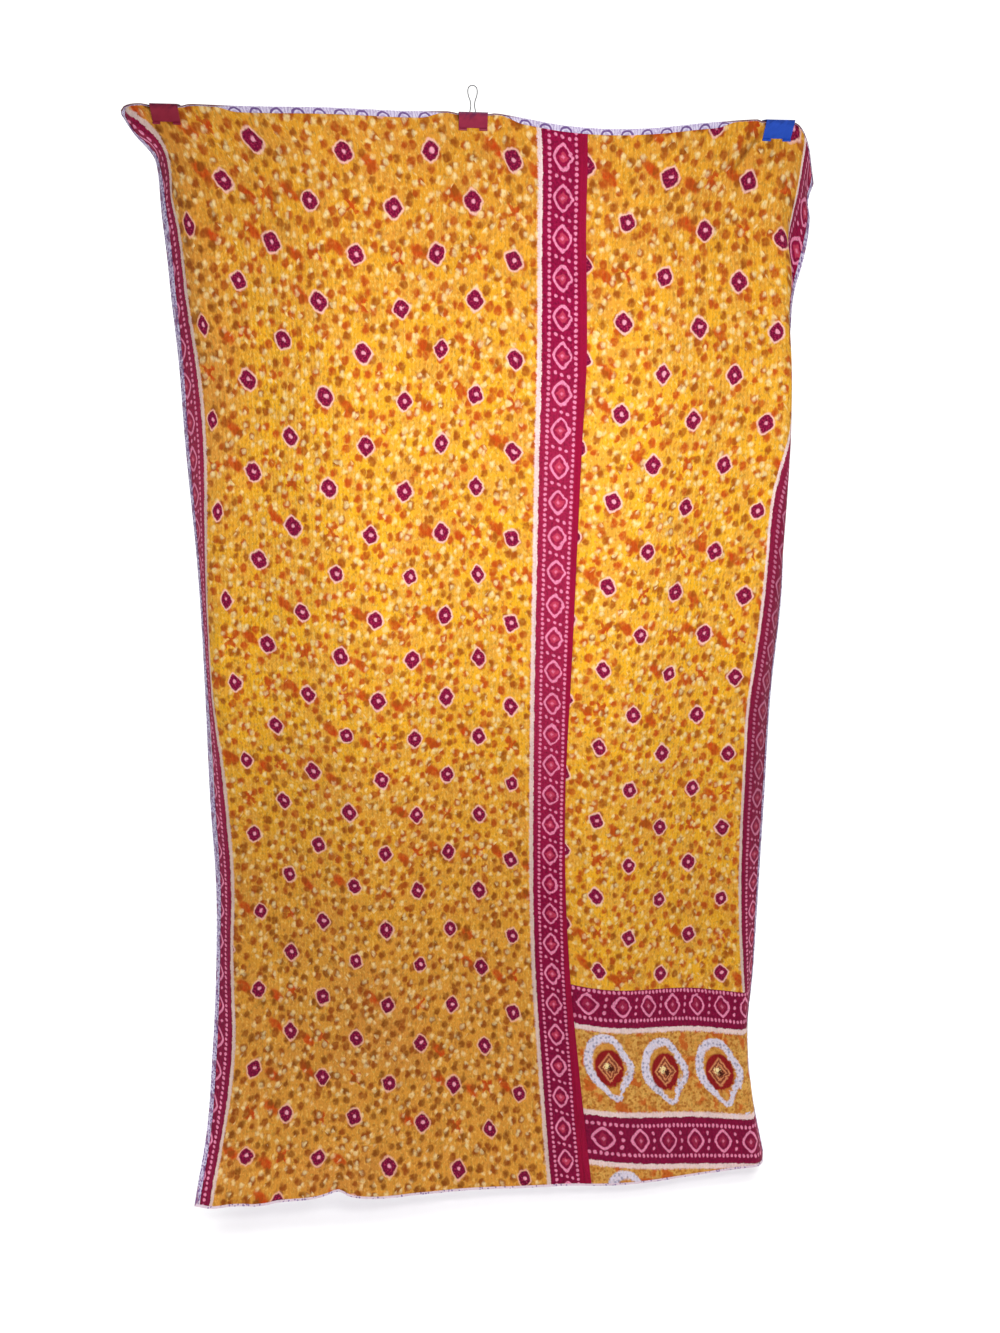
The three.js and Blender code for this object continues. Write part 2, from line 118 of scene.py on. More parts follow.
# How the quilt hangs, level by level: millimetres and degrees, measured down the cloth.
# The anchor line is the one under the centre clip. Spread is the width that each millimetre of
# cloth takes up, fold the depth of the soft folds between the clips, and start and turn say
# where each side border turns back and how far.
HANGING_COLUMNS = (
    "drop forward shift left_spread right_spread left_fold right_fold "
    "left_start left_turn right_start right_turn right_flare yaw"
).split()
HANGING = [
    [0, 0, 0, 1.02, 1, 24, 24, 62, 80, 91, 56, 0, 0],
    [32, 0, 2, 1, 0.993, 28, 27, 66, 86, 91, 64, 4, 0],
    [70, 0, 4, 0.975, 0.985, 34, 30, 98, 68, 96, 58, 14, 0],
    [160, 0, 6, 0.945, 0.97, 44, 40, 102, 52, 102, 73, 52, 0],
    [230, 0, 6, 0.935, 0.98, 48, 44, 100, 51, 88, 110, 60, 0],
    [300, 0, 6, 0.93, 0.995, 50, 46, 100, 50, 97, 110, 70, 0],
    [420, 0, 4, 0.915, 1.02, 52, 50, 96, 50, 94, 116, 30, 0],
    [560, 0, 2, 0.915, 1.02, 52, 52, 96, 52, 86, 96, 0, 0],
    [800, 0, 4, 0.935, 0.99, 52, 52, 98, 64, 76, 66, 0, 0],
    [1050, 0, 6, 0.95, 0.96, 52, 52, 98, 66, 76, 54, 0, 0],
    [1300, -5, 8, 0.945, 0.95, 52, 50, 94, 56, 78, 40, 0, 0],
    [1500, 5, 9, 0.938, 0.95, 48, 48, 92, 52, 78, 42, 0, 0],
    [1700, 40, 11, 0.945, 0.955, 44, 42, 92, 46, 78, 57, 0, 0.5],
    [1850, 85, 15, 0.96, 0.965, 36, 34, 92, 42, 92, 71, 0, 1],
    [2000, 140, 20, 0.985, 0.97, 26, 24, 88, 44, 88, 76, 0, 2],
    [2130, 190, 26, 1.015, 0.975, 16, 16, 80, 34, 78, 66, 0, 3.5],
]

# How high the top edge runs, how far the bottom edge strays, and half the width of the centre
# band to the edge of its selvedge.
TOP_EDGE = [
    [0, -4], [40, 3], [66, 4], [78, 2], [132, 2], [146, 5], [300, -1], [480, -1], [586, 3],
    [600, 0], [654, 0], [668, 1.5], [712, -5], [792, -19], [872, -25], [952, -21], [1052, -7],
    [1140, 2], [1152, -1], [1206, -1], [1222, -8], [1250, -43], [1300, -91],
]
BOTTOM_EDGE = [[0, -16], [300, 0], [627, -10], [1000, -17], [1300, -22]]
# The bottom edge is drawn up and down a little more, most of all in a small scoop, and this
# fades out a little way up the cloth.
FOOT_EDGE = [
    [0, 6], [40, 14], [70, 19], [100, 17], [130, 10], [160, 9], [175, 12], [235, 13], [262, 17],
    [284, 24], [298, 31], [306, 31], [322, 19], [345, 11], [380, 6], [420, 4], [460, 3],
    [500, 0], [627, -5], [680, -8], [740, -7], [800, -4], [860, -6], [1000, -12], [1120, -13],
    [1180, -9], [1240, -8], [1270, -12], [1300, -16],
]
FOOT_FADE = 170
# Soft troughs pressed into the cloth, each from one place to another: across and drop of either
# end, then its depth and its half width.
CREASES = (
    (1150, 28, 1134, 52, 7, 8), (1137, 46, 1100, 90, 6, 10),
    (0, 946, 130, 938, 2, 9), (0, 1122, 90, 1100, 2, 9),
    (60, 60, 120, 150, 2.5, 14), (668, 45, 700, 160, 1.5, 14), (600, 50, 570, 170, 1.5, 14),
)
CREASE_END = 16
BAND_CENTRE = 785
BAND_REACH = [
    [0, 45], [350, 44], [550, 40], [1000, 37], [1250, 32], [1500, 36], [1700, 44], [2130, 62],
]
TURNED_LEFT = [
    [0, 19], [150, 19], [310, 17], [500, 14], [900, 15], [1050, 22], [1190, 27], [1300, 24],
    [1500, 19], [1600, 14], [1900, 13], [2130, 13],
]
TURNED_RIGHT = [[0, 9], [120, 8], [300, 6], [700, 6.5], [1700, 6.5], [2130, 5]]
SETTLED_LEVEL = -21
EDGE_FADE = 1.5
LEFT_BEND_WIDTH = 55
RIGHT_BEND_WIDTH = 50
FLARE_START = 52
FLARE_WIDTH = 30
CLIPS_ACROSS = (105, 627, 1179)
FLAT_AT_CLIP = 30


def along(table, at, column=1):
    """A smooth curve through one column of a table against its first column: cubic pieces that
    share their slopes, each slope being that of the line between the two neighbouring rows."""
    table = np.array(table, float)
    keys, values = table[:, 0], table[:, column]
    last = len(keys) - 1
    before = np.maximum(np.arange(last + 1) - 1, 0)
    after = np.minimum(np.arange(last + 1) + 1, last)
    slopes = (values[after] - values[before]) / (keys[after] - keys[before])
    start = np.clip(np.searchsorted(keys, at, "right") - 1, 0, last - 1)
    span = keys[start + 1] - keys[start]
    t = (at - keys[start]) / span
    return (
        (2 * t**3 - 3 * t**2 + 1) * values[start]
        + (t**3 - 2 * t**2 + t) * span * slopes[start]
        + (3 * t**2 - 2 * t**3) * values[start + 1]
        + (t**3 - t**2) * span * slopes[start + 1]
    )


def ease(t):
    """0 below 0, 1 above 1, and 3t^2 - 2t^3 between."""
    t = np.clip(t, 0, 1)
    return t * t * (3 - 2 * t)


def soft_fold(across, start, end, depth):
    """Nothing at the two clips, and depth * (1 - cos) / 2 between them."""
    t = (across - start - FLAT_AT_CLIP) / (end - start - 2 * FLAT_AT_CLIP)
    return np.where((t > 0) & (t < 1), depth * (1 - np.cos(2 * np.pi * t)) / 2, 0)


def level_lines(drops):
    """The cloth's lines across at the given drops, x and y at each whole millimetre of its width.
    Each line is walked out from the anchor: x adds cos(heading) * spread and y adds
    sin(heading), less the soft folds, and the whole level is turned by its yaw."""
    level = {
        name: along(HANGING, drops, column)[:, None]
        for column, name in enumerate(HANGING_COLUMNS)
    }
    whole = np.arange(QUILT_WIDTH + 1)
    middle = whole[:-1] + 0.5
    left = ease((level["left_start"] - middle) / LEFT_BEND_WIDTH)
    right = ease((middle - QUILT_WIDTH + level["right_start"]) / RIGHT_BEND_WIDTH)
    flare = ease((middle - QUILT_WIDTH + FLARE_START) / FLARE_WIDTH)
    heading = np.radians(
        level["right_turn"] * right - level["left_turn"] * left - level["right_flare"] * flare
    )
    anchor = CLIPS_ACROSS[1]
    slack = np.where(middle < anchor, level["left_spread"], level["right_spread"])
    spread = slack + (1 - slack) * np.maximum(left, right)
    edge = np.zeros((len(drops), 1))
    x = np.concatenate([edge, np.cumsum(np.cos(heading) * spread, axis=1)], axis=1)
    y = np.concatenate([edge, np.cumsum(np.sin(heading), axis=1)], axis=1)
    x -= x[:, anchor, None]
    y -= y[:, anchor, None]
    y -= soft_fold(whole, CLIPS_ACROSS[0], CLIPS_ACROSS[1], level["left_fold"])
    y -= soft_fold(whole, CLIPS_ACROSS[1], CLIPS_ACROSS[2], level["right_fold"])
    cos, sin = np.cos(np.radians(level["yaw"])), np.sin(np.radians(level["yaw"]))
    return x * cos - y * sin + level["shift"], x * sin + y * cos - level["forward"]


def pressed_in(across, drop):
    """How deep the creases are: depth * exp(-(distance / half width)^2) for each, the distance
    being that from the line between its ends, faded out over its last 16 mm at either end."""
    total = np.zeros(np.broadcast(across, drop).shape)
    for across_1, drop_1, across_2, drop_2, depth, half_width in CREASES:
        length = math.hypot(across_2 - across_1, drop_2 - drop_1)
        along_x, along_y = (across_2 - across_1) / length, (drop_2 - drop_1) / length
        run = (across - across_1) * along_x + (drop - drop_1) * along_y
        off = (drop - drop_1) * along_x - (across - across_1) * along_y
        fade = ease(run / CREASE_END + 0.5) * ease((length - run) / CREASE_END + 0.5)
        total += depth * fade * np.exp(-((off / half_width) ** 2))
    return total


whole_drops = np.arange(QUILT_LENGTH + 1)
run_forward = np.diff(along(HANGING, whole_drops))
fallen = np.concatenate([[0], np.cumsum(np.sqrt(1 - run_forward**2))])


def hanging_points(across, drops):
    """Where the back cloth's back face hangs, for across of shape (lines, drops). x and y come
    from the level lines, and z = settled level + the top edge's rise * (1 - v)^1.5 +
    the bottom edge's * v^1.5 + the foot edge's - how far the cloth has come down, with v = drop /
    length. The creases are pressed in, away from the front."""
    line_x, line_y = level_lines(drops)
    step = np.clip(np.floor(across).astype(int), 0, QUILT_WIDTH - 1)
    part = across - step
    row = np.broadcast_to(np.arange(len(drops)), across.shape)
    x = line_x[row, step] * (1 - part) + line_x[row, step + 1] * part
    y = line_y[row, step] * (1 - part) + line_y[row, step + 1] * part
    share = np.clip(drops / QUILT_LENGTH, 0, 1)
    z = (
        SETTLED_LEVEL
        + (along(TOP_EDGE, across) - SETTLED_LEVEL) * (1 - share) ** EDGE_FADE
        + along(BOTTOM_EDGE, across) * share**EDGE_FADE
        + along(FOOT_EDGE, across) * ease((drops - QUILT_LENGTH + FOOT_FADE) / FOOT_FADE)
        - np.interp(drops, whole_drops, fallen)
    )
    return np.stack([x, y + pressed_in(across, drops), z], axis=-1)


def cloth_face(across, drops):
    """Points of the back face, and the unit normals that point out of the printed side and
    the unit directions down the cloth."""
    reach = 0.5
    columns = np.clip(across, reach, QUILT_WIDTH - reach)
    rows = np.clip(drops, reach, QUILT_LENGTH - reach)
    down = hanging_points(columns, rows + reach) - hanging_points(columns, rows - reach)
    right = hanging_points(columns + reach, rows) - hanging_points(columns - reach, rows)
    normal = np.cross(down, right)
    normal /= np.linalg.norm(normal, axis=-1, keepdims=True)
    down /= np.linalg.norm(down, axis=-1, keepdims=True)
    return hanging_points(across, drops), normal, down


SHARP_ANGLE = math.radians(50)


def cloth_body(name, lines, drops, heights, is_there, slide=None):
    """One closed body of cloth out of cells between lines across, drops and heights. A face
    stands wherever a cell that is there meets one that is not, and each corner is laid at
    face point + normal * height + down * slide(across, drop, height). Lines that follow the
    cloth are functions of the drop."""
    drops = np.asarray(drops, float)
    heights = np.asarray(heights, float)
    across = np.stack([
        line(drops) if callable(line) else np.full(len(drops), float(line)) for line in lines
    ])
    cell_across = (across[:-1, :-1] + across[1:, :-1])[:, :, None] / 2
    cell_drop = ((drops[:-1] + drops[1:]) / 2)[None, :, None]
    cell_height = ((heights[:-1] + heights[1:]) / 2)[None, None, :]
    filled = is_there(cell_across, cell_drop, cell_height, drops[None, :-1, None])
    size = (len(lines) - 1, len(drops) - 1, len(heights) - 1)
    around = np.pad(np.broadcast_to(filled, size), 1)
    inside = around[1:-1, 1:-1, 1:-1]
    quads = []
    for axis in range(3):
        for side in (0, 1):
            beyond = np.roll(around, 1 - 2 * side, axis)[1:-1, 1:-1, 1:-1]
            cells = np.argwhere(inside & ~beyond)
            corners = []
            for a, b in ((0, 0), (1, 0), (1, 1), (0, 1)):
                place = cells.copy()
                place[:, axis] += side
                place[:, (axis + 1) % 3] += a
                place[:, (axis + 2) % 3] += b
                corners.append(place)
            quads.append(np.stack(corners if side == 0 else corners[::-1], axis=1))
    quads = np.concatenate(quads)
    count = (len(lines), len(drops), len(heights))
    flat = np.ravel_multi_index(quads.reshape(-1, 3).T, count)
    used, loops = np.unique(flat, return_inverse=True)
    i, j, k = np.unravel_index(used, count)
    points, normals, downs = cloth_face(across, drops)
    places = points[i, j] + normals[i, j] * heights[k, None]
    if slide is not None:
        places += downs[i, j] * slide(across[i, j], drops[j], heights[k])[:, None]
    mesh = bpy.data.meshes.new(name)
    mesh.vertices.add(len(used))
    mesh.vertices.foreach_set("co", (places * MM).ravel())
    mesh.loops.add(len(loops))
    mesh.loops.foreach_set("vertex_index", loops.ravel())
    mesh.polygons.add(len(quads))
    mesh.polygons.foreach_set("loop_start", np.arange(len(quads)) * 4)
    mesh.update(calc_edges=True)
    mesh.validate()
    mesh.shade_smooth()
    mesh.set_sharp_from_angle(angle=SHARP_ANGLE)
    cloth = put_in_scene(name, mesh)
    lay_map(cloth, "Cloth", across[i, j] * MM, drops[j] * MM)
    return cloth, across[i, j], drops[j]


def lay_map(cloth, name, first, second):
    """A UV map whose two values are given at each vertex."""
    mesh = cloth.data
    corners = np.empty(len(mesh.loops), int)
    mesh.loops.foreach_get("vertex_index", corners)
    layer = mesh.uv_layers.new(name=name)
    layer.data.foreach_set("uv", np.stack([first, second], axis=-1)[corners].ravel())


def spaced(first, last, step):
    """Equal steps of about the given size, without the two ends."""
    count = max(int(round(abs(last - first) / step)), 1)
    return list(np.linspace(first, last, count + 1)[1:-1])


def turned_left(drop):
    """Inner edge of the strip that is turned over at the left."""
    return along(TURNED_LEFT, drop)


def turned_right(drop):
    """Inner edge of the strip that is turned over at the right."""
    return QUILT_WIDTH - along(TURNED_RIGHT, drop)


def lap_end(drop):
    """Edge of the left panel's selvedge: the centre band's middle plus its reach."""
    return BAND_CENTRE + along(BAND_REACH, drop)


# Where the lines across and the drops are set closer: beside each long edge, where the cloth
# folds back, beside the clips, and at the foot.
BESIDE_LEFT = 8
LEFT_FOLD = (28, 115)
RIGHT_FOLD = (1160, 1290)
BESIDE_RIGHT = QUILT_WIDTH - 3
BELOW_TOP = 6
shared_drops = [20, 30, *spaced(30, 110, 5), 110, *spaced(110, 2100, 10), 2100, 2112]
foot_drops = [QUILT_LENGTH - TURNED_BOTTOM, QUILT_LENGTH - 3, QUILT_LENGTH - INSET]


def back_is_there(across, drop, height, row):
    """Solid in its own layer, in the wall along each edge, and in the turned-over strip."""
    from_edge = np.minimum(
        np.minimum(across, QUILT_WIDTH - across), np.minimum(drop, QUILT_LENGTH - drop)
    )
    turned = (
        (across < turned_left(row)) | (across > turned_right(row))
        | (drop < TURNED_TOP) | (drop > QUILT_LENGTH - TURNED_BOTTOM)
    )
    return (
        (height < BACK_THICKNESS)
        | (from_edge < BACK_THICKNESS)
        | ((height > TURNED_BACK) & turned)
    )


# The top edge is hardly turned over beside the clips, so the printed cloth shows there.
BARE_STRETCHES = ((-50, 225), (536, 717), (1065, 1350))
BARE_FADE = 40
BARE_STRIP = 2.2


def bare(across):
    """1 along the bare stretches, 0 elsewhere."""
    return sum(
        ease((across - start) / BARE_FADE) * ease((end - across) / BARE_FADE)
        for start, end in BARE_STRETCHES
    )


def draw_up(across, drop, height):
    """Moves the turned-over strip's lower part up: bare * (2.2 mm - drop), for drops to 10 mm."""
    on_strip = (height > PANEL_FACE) & (drop > BARE_STRIP) & (drop <= TURNED_TOP)
    middle = (across > turned_left(drop)) & (across < turned_right(drop))
    return np.where(on_strip & middle, bare(across) * (BARE_STRIP - drop), 0)


back_cloth, back_across, back_drop = cloth_body(
    "back_cloth_sewn",
    lines=[
        0, BACK_THICKNESS, INSET, BESIDE_LEFT, turned_left, *spaced(*LEFT_FOLD, 6), LEFT_FOLD[1],
        *spaced(LEFT_FOLD[1], RIGHT_FOLD[0], 9), RIGHT_FOLD[0], *spaced(*RIGHT_FOLD, 6),
        turned_right, BESIDE_RIGHT, QUILT_WIDTH - INSET, QUILT_WIDTH - BACK_THICKNESS,
        QUILT_WIDTH,
    ],
    drops=[
        0, BACK_THICKNESS, INSET, 3, BELOW_TOP, TURNED_TOP, *shared_drops, *foot_drops,
        QUILT_LENGTH - BACK_THICKNESS, QUILT_LENGTH,
    ],
    heights=[0, BACK_THICKNESS, TURNED_BACK, TURNED_FACE],
    is_there=back_is_there,
    slide=draw_up,
)


# The bare stretches of the edge are darker, and the map's first value says where they are.
along_top = (back_drop <= BARE_STRIP) & (back_across > BACK_THICKNESS)
along_top &= back_across < QUILT_WIDTH - BACK_THICKNESS
lay_map(back_cloth, "Bare", np.where(along_top, bare(back_across), 0), back_drop * 0)


def dye(code):
    """A colour from its six-figure screen code, as the linear values that shaders take. Each
    share s becomes s / 12.92 up to 0.04045, and ((s + 0.055) / 1.055)^2.4 above that."""
    shares = [int(code[at:at + 2], 16) / 255 for at in (0, 2, 4)]
    return (*[s / 12.92 if s <= 0.04045 else ((s + 0.055) / 1.055) ** 2.4 for s in shares], 1)


def plug(value, place):
    """Joins a socket or an Amount to an input, or sets the input to a number or a dye's code."""
    value = dye(value) if isinstance(value, str) else getattr(value, "socket", value)
    if isinstance(value, bpy.types.NodeSocket):
        place.id_data.links.new(value, place)
    else:
        place.default_value = value


def add_node(tree, kind, inputs, **settings):
    """A new node with its settings made and its inputs plugged in."""
    node = tree.nodes.new("ShaderNode" + kind)
    for name, value in settings.items():
        setattr(node, name, value)
    for name, value in inputs.items():
        plug(value, node.inputs[name])
    return node


class Amount:
    """A number that changes over the cloth, kept as a socket of its material's nodes. Each sign
    or call adds one node, so a pattern is written as a formula in millimetres. over() is 1 where
    it is more than the other, else 0."""

    def __init__(self, socket):
        self.socket = socket
        self.tree = socket.id_data

    def maths(self, operation, *others):
        inputs = dict(enumerate((self, *others)))
        return Amount(add_node(self.tree, "Math", inputs, operation=operation).outputs[0])

    __add__ = __radd__ = partialmethod(maths, "ADD")
    __sub__ = partialmethod(maths, "SUBTRACT")
    __rsub__ = partialmethod(maths, "MULTIPLY_ADD", -1)
    __mul__ = __rmul__ = partialmethod(maths, "MULTIPLY")
    __truediv__ = partialmethod(maths, "DIVIDE")
    size = partialmethod(maths, "ABSOLUTE")
    least = partialmethod(maths, "MINIMUM")
    most = partialmethod(maths, "MAXIMUM")
    power = partialmethod(maths, "POWER")
    over = partialmethod(maths, "GREATER_THAN")

    def off(self, period, first=0):
        """How far it is from the nearest of the values first + n * period."""
        return (self - first).maths("WRAP", period / 2, -period / 2)

    def rise(self, low, high):
        """0 at low, 1 at high, 3t^2 - 2t^3 between. It falls instead where low is the larger."""
        inputs = {"Value": self, "From Min": low, "From Max": high}
        node = add_node(self.tree, "MapRange", inputs, interpolation_type="SMOOTHSTEP")
        return Amount(node.outputs["Result"])

    def within(self, reach, blur):
        """1 where it is under reach, 0 where it is over, across a blur."""
        return self.rise(reach + blur / 2, reach - blur / 2)

    def near(self, reach, blur):
        """1 where it is within reach of 0 on either side."""
        return self.size().within(reach, blur)


def distance(first, second):
    """sqrt(first^2 + second^2)."""
    return (first * first + second * second).maths("SQRT")


def choose(share, here, there):
    """there + share * (here - there)."""
    return there + share * (here - there)


def place_in(first, second, size, seed):
    """A vector (first / size + seed, second / size + seed, 0) for a texture node."""
    inputs = {"X": first / size + seed, "Y": second / size + seed}
    return add_node(first.tree, "CombineXYZ", inputs).outputs["Vector"]


def mottle(first, second, size, seed, detail=2):
    """Smooth noise from about -1 to 1, with spots of about the given size."""
    inputs = {"Vector": place_in(first, second, size, seed), "Scale": 1, "Detail": detail}
    node = add_node(first.tree, "TexNoise", inputs, noise_dimensions="2D")
    return Amount(node.outputs["Fac"]) * 4 - 2


def chance(first, second, seed):
    """A number from 0 to 1, the same all over each whole pair of values."""
    inputs = {"Vector": place_in(first, second, 1, seed)}
    node = add_node(first.tree, "TexWhiteNoise", inputs, noise_dimensions="2D")
    return Amount(node.outputs["Value"])


def scattered(first, second, spacing, seed, loose):
    """Spots strewn a spacing apart: the distance to the nearest one, and a number for each."""
    place = place_in(first, second, spacing, seed)
    inputs = {"Vector": place, "Scale": 1, "Randomness": loose}
    node = add_node(first.tree, "TexVoronoi", inputs, voronoi_dimensions="2D")
    split = add_node(first.tree, "SeparateColor", {"Color": node.outputs["Color"]})
    return Amount(node.outputs["Distance"]) * spacing, Amount(split.outputs["Red"])


def paint(below, share, above):
    """below * (1 - share) + above * share, for colours."""
    inputs = {0: share, 6: below, 7: above}
    return add_node(share.tree, "Mix", inputs, data_type="RGBA").outputs[2]


def layered(colour, *coats):
    """The colour with coats painted over it in turn, each a share and a colour."""
    for share, coat in coats:
        colour = paint(colour, share, coat)
    return colour


def shade(colour, amount):
    """The colour times the amount."""
    inputs = {0: colour, "Scale": amount}
    return add_node(amount.tree, "VectorMath", inputs, operation="SCALE").outputs[0]


def split_up(vector):
    """The x, y and z of a vector socket."""
    split = add_node(vector.id_data, "SeparateXYZ", {"Vector": vector})
    return [Amount(split.outputs[axis]) for axis in "XYZ"]


def map_amounts(tree, name, scale):
    """The two values of a UV map."""
    node = add_node(tree, "UVMap", {}, uv_map=name)
    return [amount * scale for amount in split_up(node.outputs["UV"])[:2]]


def new_material(name):
    """A new material and its node tree."""
    material = bpy.data.materials.new(name)
    material.use_nodes = True
    return material, material.node_tree


def cloth_material(name):
    """A new cotton material, and across and drop over it in millimetres."""
    material, tree = new_material(name)
    return material, tree, *map_amounts(tree, "Cloth", 1 / MM)


def finish(material, colour, roughness, height, **settings):
    """Joins up a material's shader: its colour and roughness, its height in millimetres as bump
    or None, and plain settings, with _ for each space in their names."""
    tree = material.node_tree
    shader = tree.nodes["Principled BSDF"]
    plug(colour, shader.inputs["Base Color"])
    plug(roughness, shader.inputs["Roughness"])
    if height is not None:
        bump = add_node(tree, "Bump", {"Distance": MM, "Height": height})
        plug(bump.outputs["Normal"], shader.inputs["Normal"])
    for name, value in settings.items():
        shader.inputs[name.replace("_", " ")].default_value = value


STITCH_ROWS = 8
STITCH_STEP = 7.5
STITCH_LENGTH = 4.6
STITCH_HALF_WIDTH = 0.55
ROW_WANDER = 1.2
THREAD_PITCH = 0.9


def quilting(across, drop):
    """Running stitches in rows down the cloth: how much of a stitch lies at each place, and the
    height of the cloth, which is drawn down along each row and puffs up between stitches."""
    row_place = across + mottle(across, drop, 60, 3.1, 1) * ROW_WANDER
    from_row = row_place.off(STITCH_ROWS)
    row = (row_place / STITCH_ROWS).maths("ROUND")
    start = chance(row, row, 5) * STITCH_STEP + mottle(row * 9, drop, 40, 8.2, 1) * 1.5
    from_stitch = (drop + start).off(STITCH_STEP)
    thread = from_row.near(STITCH_HALF_WIDTH, 0.5) * from_stitch.near(STITCH_LENGTH / 2, 0.8)
    valley = from_row.size().rise(0, 3.2)
    pucker = mottle(across, drop / 1.6, 7, 2.4)
    swell = mottle(across, drop / 2.5, 26, 7.7)
    return thread, valley * 0.55 + thread * 0.3 + pucker * 0.28 + swell * 0.35


def finish_cotton(cloth, material, colour, across, drop, relief, lowest, thread_light):
    """Dull soft cotton with its stitches: the colour with painted shade from the stitched relief,
    lighter where the cloth puffs up and darker in the valleys along the rows, lighter too by the
    thread's light on each stitch, and a fine plain weave."""
    thread, height = quilting(across, drop)
    light = height.rise(-0.4, 0.9) * relief + lowest + thread * thread_light
    weave = across.off(THREAD_PITCH).size() + drop.off(THREAD_PITCH).size()
    fluff = mottle(across, drop, 1.3, 6.6, 3)
    finish(
        material, shade(colour, light), fluff * 0.04 + 0.9, height + weave * 0.06 + fluff * 0.05,
        Specular_IOR_Level=0.12, Sheen_Weight=0.03, Sheen_Roughness=0.5,
    )
    cloth.data.materials.append(material)


BACK_WHITE = "dcd5df"
BACK_GREY = "cac1d0"
COTTON_WHITE = "e9e3ee"
COTTON_GREY = "d6cede"
LAVENDER = "d6cce6"
SCALLOP_PURPLE = "6a4788"
SCALLOP_SHADOW = "a690c0"
BLEED = "7c2a5a"
HEM_PINK = "e6ccd4"
EDGE_BROWN = "6e3418"
SCALLOP_PITCH = 35.8
SCALLOP_FIRST = 4.7
SCALLOP_HALF_WIDTH = 9.5
SCALLOP_HEIGHT = 8.5
SCALLOP_FOOT = 11.5
TICK_PITCH = 5.1
PRINTED_EDGE = 25

back_cotton, tree, across, drop = cloth_material("back_cotton")
from_side = across.least(QUILT_WIDTH - across)
from_end = drop.least(QUILT_LENGTH - drop)
runs_down = from_end.over(from_side)
from_edge = from_side.least(from_end)
edge_run = choose(runs_down, drop, across)
wobble = mottle(across, drop, 9, 1.3)
at_foot = drop.over(QUILT_LENGTH / 2) * (1 - runs_down)
arc_radius = wobble * 0.08 + distance(
    edge_run.off(SCALLOP_PITCH, SCALLOP_FIRST) / SCALLOP_HALF_WIDTH,
    (from_edge - SCALLOP_FOOT) / SCALLOP_HEIGHT,
)
arc_line = (arc_radius - 1).near(0.2, 0.16)
ticks = (edge_run + wobble * 1.6).off(TICK_PITCH).near(0.9, 0.9) * arc_radius.rise(1.1, 1.5)
arcs = (arc_radius.within(0.5, 0.2) * 0.7).most(ticks * 0.7) * (1 - at_foot)
blots, blot_number = scattered(across, drop, 5.5, 4, 1)
flecks = blots.within(1.9, 1.2) * (blot_number + runs_down * 0.4).over(0.6)
bled = mottle(across, drop * 0.7, 15, 5.5, 3).rise(0.15, 0.5) * runs_down
printed = from_edge.within(PRINTED_EDGE, 2)
edging = paint(COTTON_WHITE, mottle(across, drop, 30, 2) * 0.4 + 0.4, COTTON_GREY)
colour = layered(
    BACK_WHITE,
    (mottle(across, drop, 90, 12) * 0.3 + 0.4, BACK_GREY),
    (printed, edging),
    (printed * (wobble.rise(-1, 1) * 0.5 + 0.5), LAVENDER),
    (at_foot * printed * 0.7, HEM_PINK),
    (arcs.most(flecks * 0.6) * printed, SCALLOP_SHADOW),
    (arc_line * printed * (0.95 - runs_down * 0.7 - at_foot), SCALLOP_PURPLE),
    (bled * printed * 0.75, BLEED),
    (flecks * printed * (runs_down * 0.85 + at_foot * 0.6), SCALLOP_PURPLE),
    (map_amounts(tree, "Bare", 1)[0] * 0.9, EDGE_BROWN),
)
# Painted shade from the stitched relief, weaker on the printed edge than inside.
relief = choose(printed, 0.12, 0.3)
finish_cotton(back_cloth, back_cotton, colour, across, drop, relief, 1.02 - relief, 0.08)
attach(back_cloth, "root")
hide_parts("back_cloth")


# ---------------------------- left panel
# The wider of two sari lengths on the front: soft printed cotton with a tied-dot pattern. Its
# right-hand border is the centre band, whose selvedge laps over the right panel's raw edge.

LAP_WIDTH = 12
LAP_ROOM = 0.3
BEFORE_LAP = 800


def lap_start(drop):
    """Where the lapped strip starts to lie on the right panel."""
    return lap_end(drop) - LAP_WIDTH


def lap_step(drop):
    """Where the panel steps up towards the lapped strip, its own thickness before it."""
    return lap_start(drop) - PANEL_THICKNESS


def left_is_there(across, drop, height, row):
    """Flat up to the step, whole height in the step, and only the raised strip beyond it."""
    lapped = (drop > TURNED_TOP + LAP_ROOM) & (drop < QUILT_LENGTH - TURNED_BOTTOM - LAP_ROOM)
    beyond = across > lap_start(row)
    stepping = (across > lap_step(row)) & ~beyond
    return np.where(
        beyond,
        lapped & (height > TURNED_BACK),
        (height < PANEL_FACE) | (stepping & lapped),
    )


left_panel, left_across, left_drop = cloth_body(
    "left_panel_sewn",
    lines=[
        INSET, BESIDE_LEFT, turned_left, *spaced(*LEFT_FOLD, 5), LEFT_FOLD[1],
        *spaced(LEFT_FOLD[1], BEFORE_LAP, 6.5),
        lambda drop: (BEFORE_LAP + lap_step(drop)) / 2, lap_step, lap_start,
        lambda drop: lap_end(drop) - LAP_WIDTH / 2, lap_end,
    ],
    drops=[
        INSET, BELOW_TOP, TURNED_TOP + LAP_ROOM, *shared_drops, foot_drops[0] - LAP_ROOM,
        *foot_drops[1:],
    ],
    heights=[PANEL_BACK, PANEL_FACE, TURNED_BACK, LAPPED_FACE],
    is_there=left_is_there,
)

# Where the tied motifs fall. Columns are numbered from the left, half a repeat apart, rows from
# the top, and a motif stands where column + row is even. The print strays a little, so each
# column has its own first row and its own spacing.
LEFT_LAST_COLUMN = 8
LEFT_LAST_ACROSS = 696
LEFT_COLUMN_STEP = [
    [0, 76], [600, 76], [1000, 73], [1350, 71.3], [1700, 72.5], [2130, 74.4],
]
LEFT_ROWS = [
    [0, 18, 84], [1, 32, 83.7], [2, 51, 83.2], [3, 64.5, 82.5], [4, 70, 83],
    [5, 73, 83.1], [6, 60, 84.4], [7, 52, 85.1], [8, 68, 85.3],
]
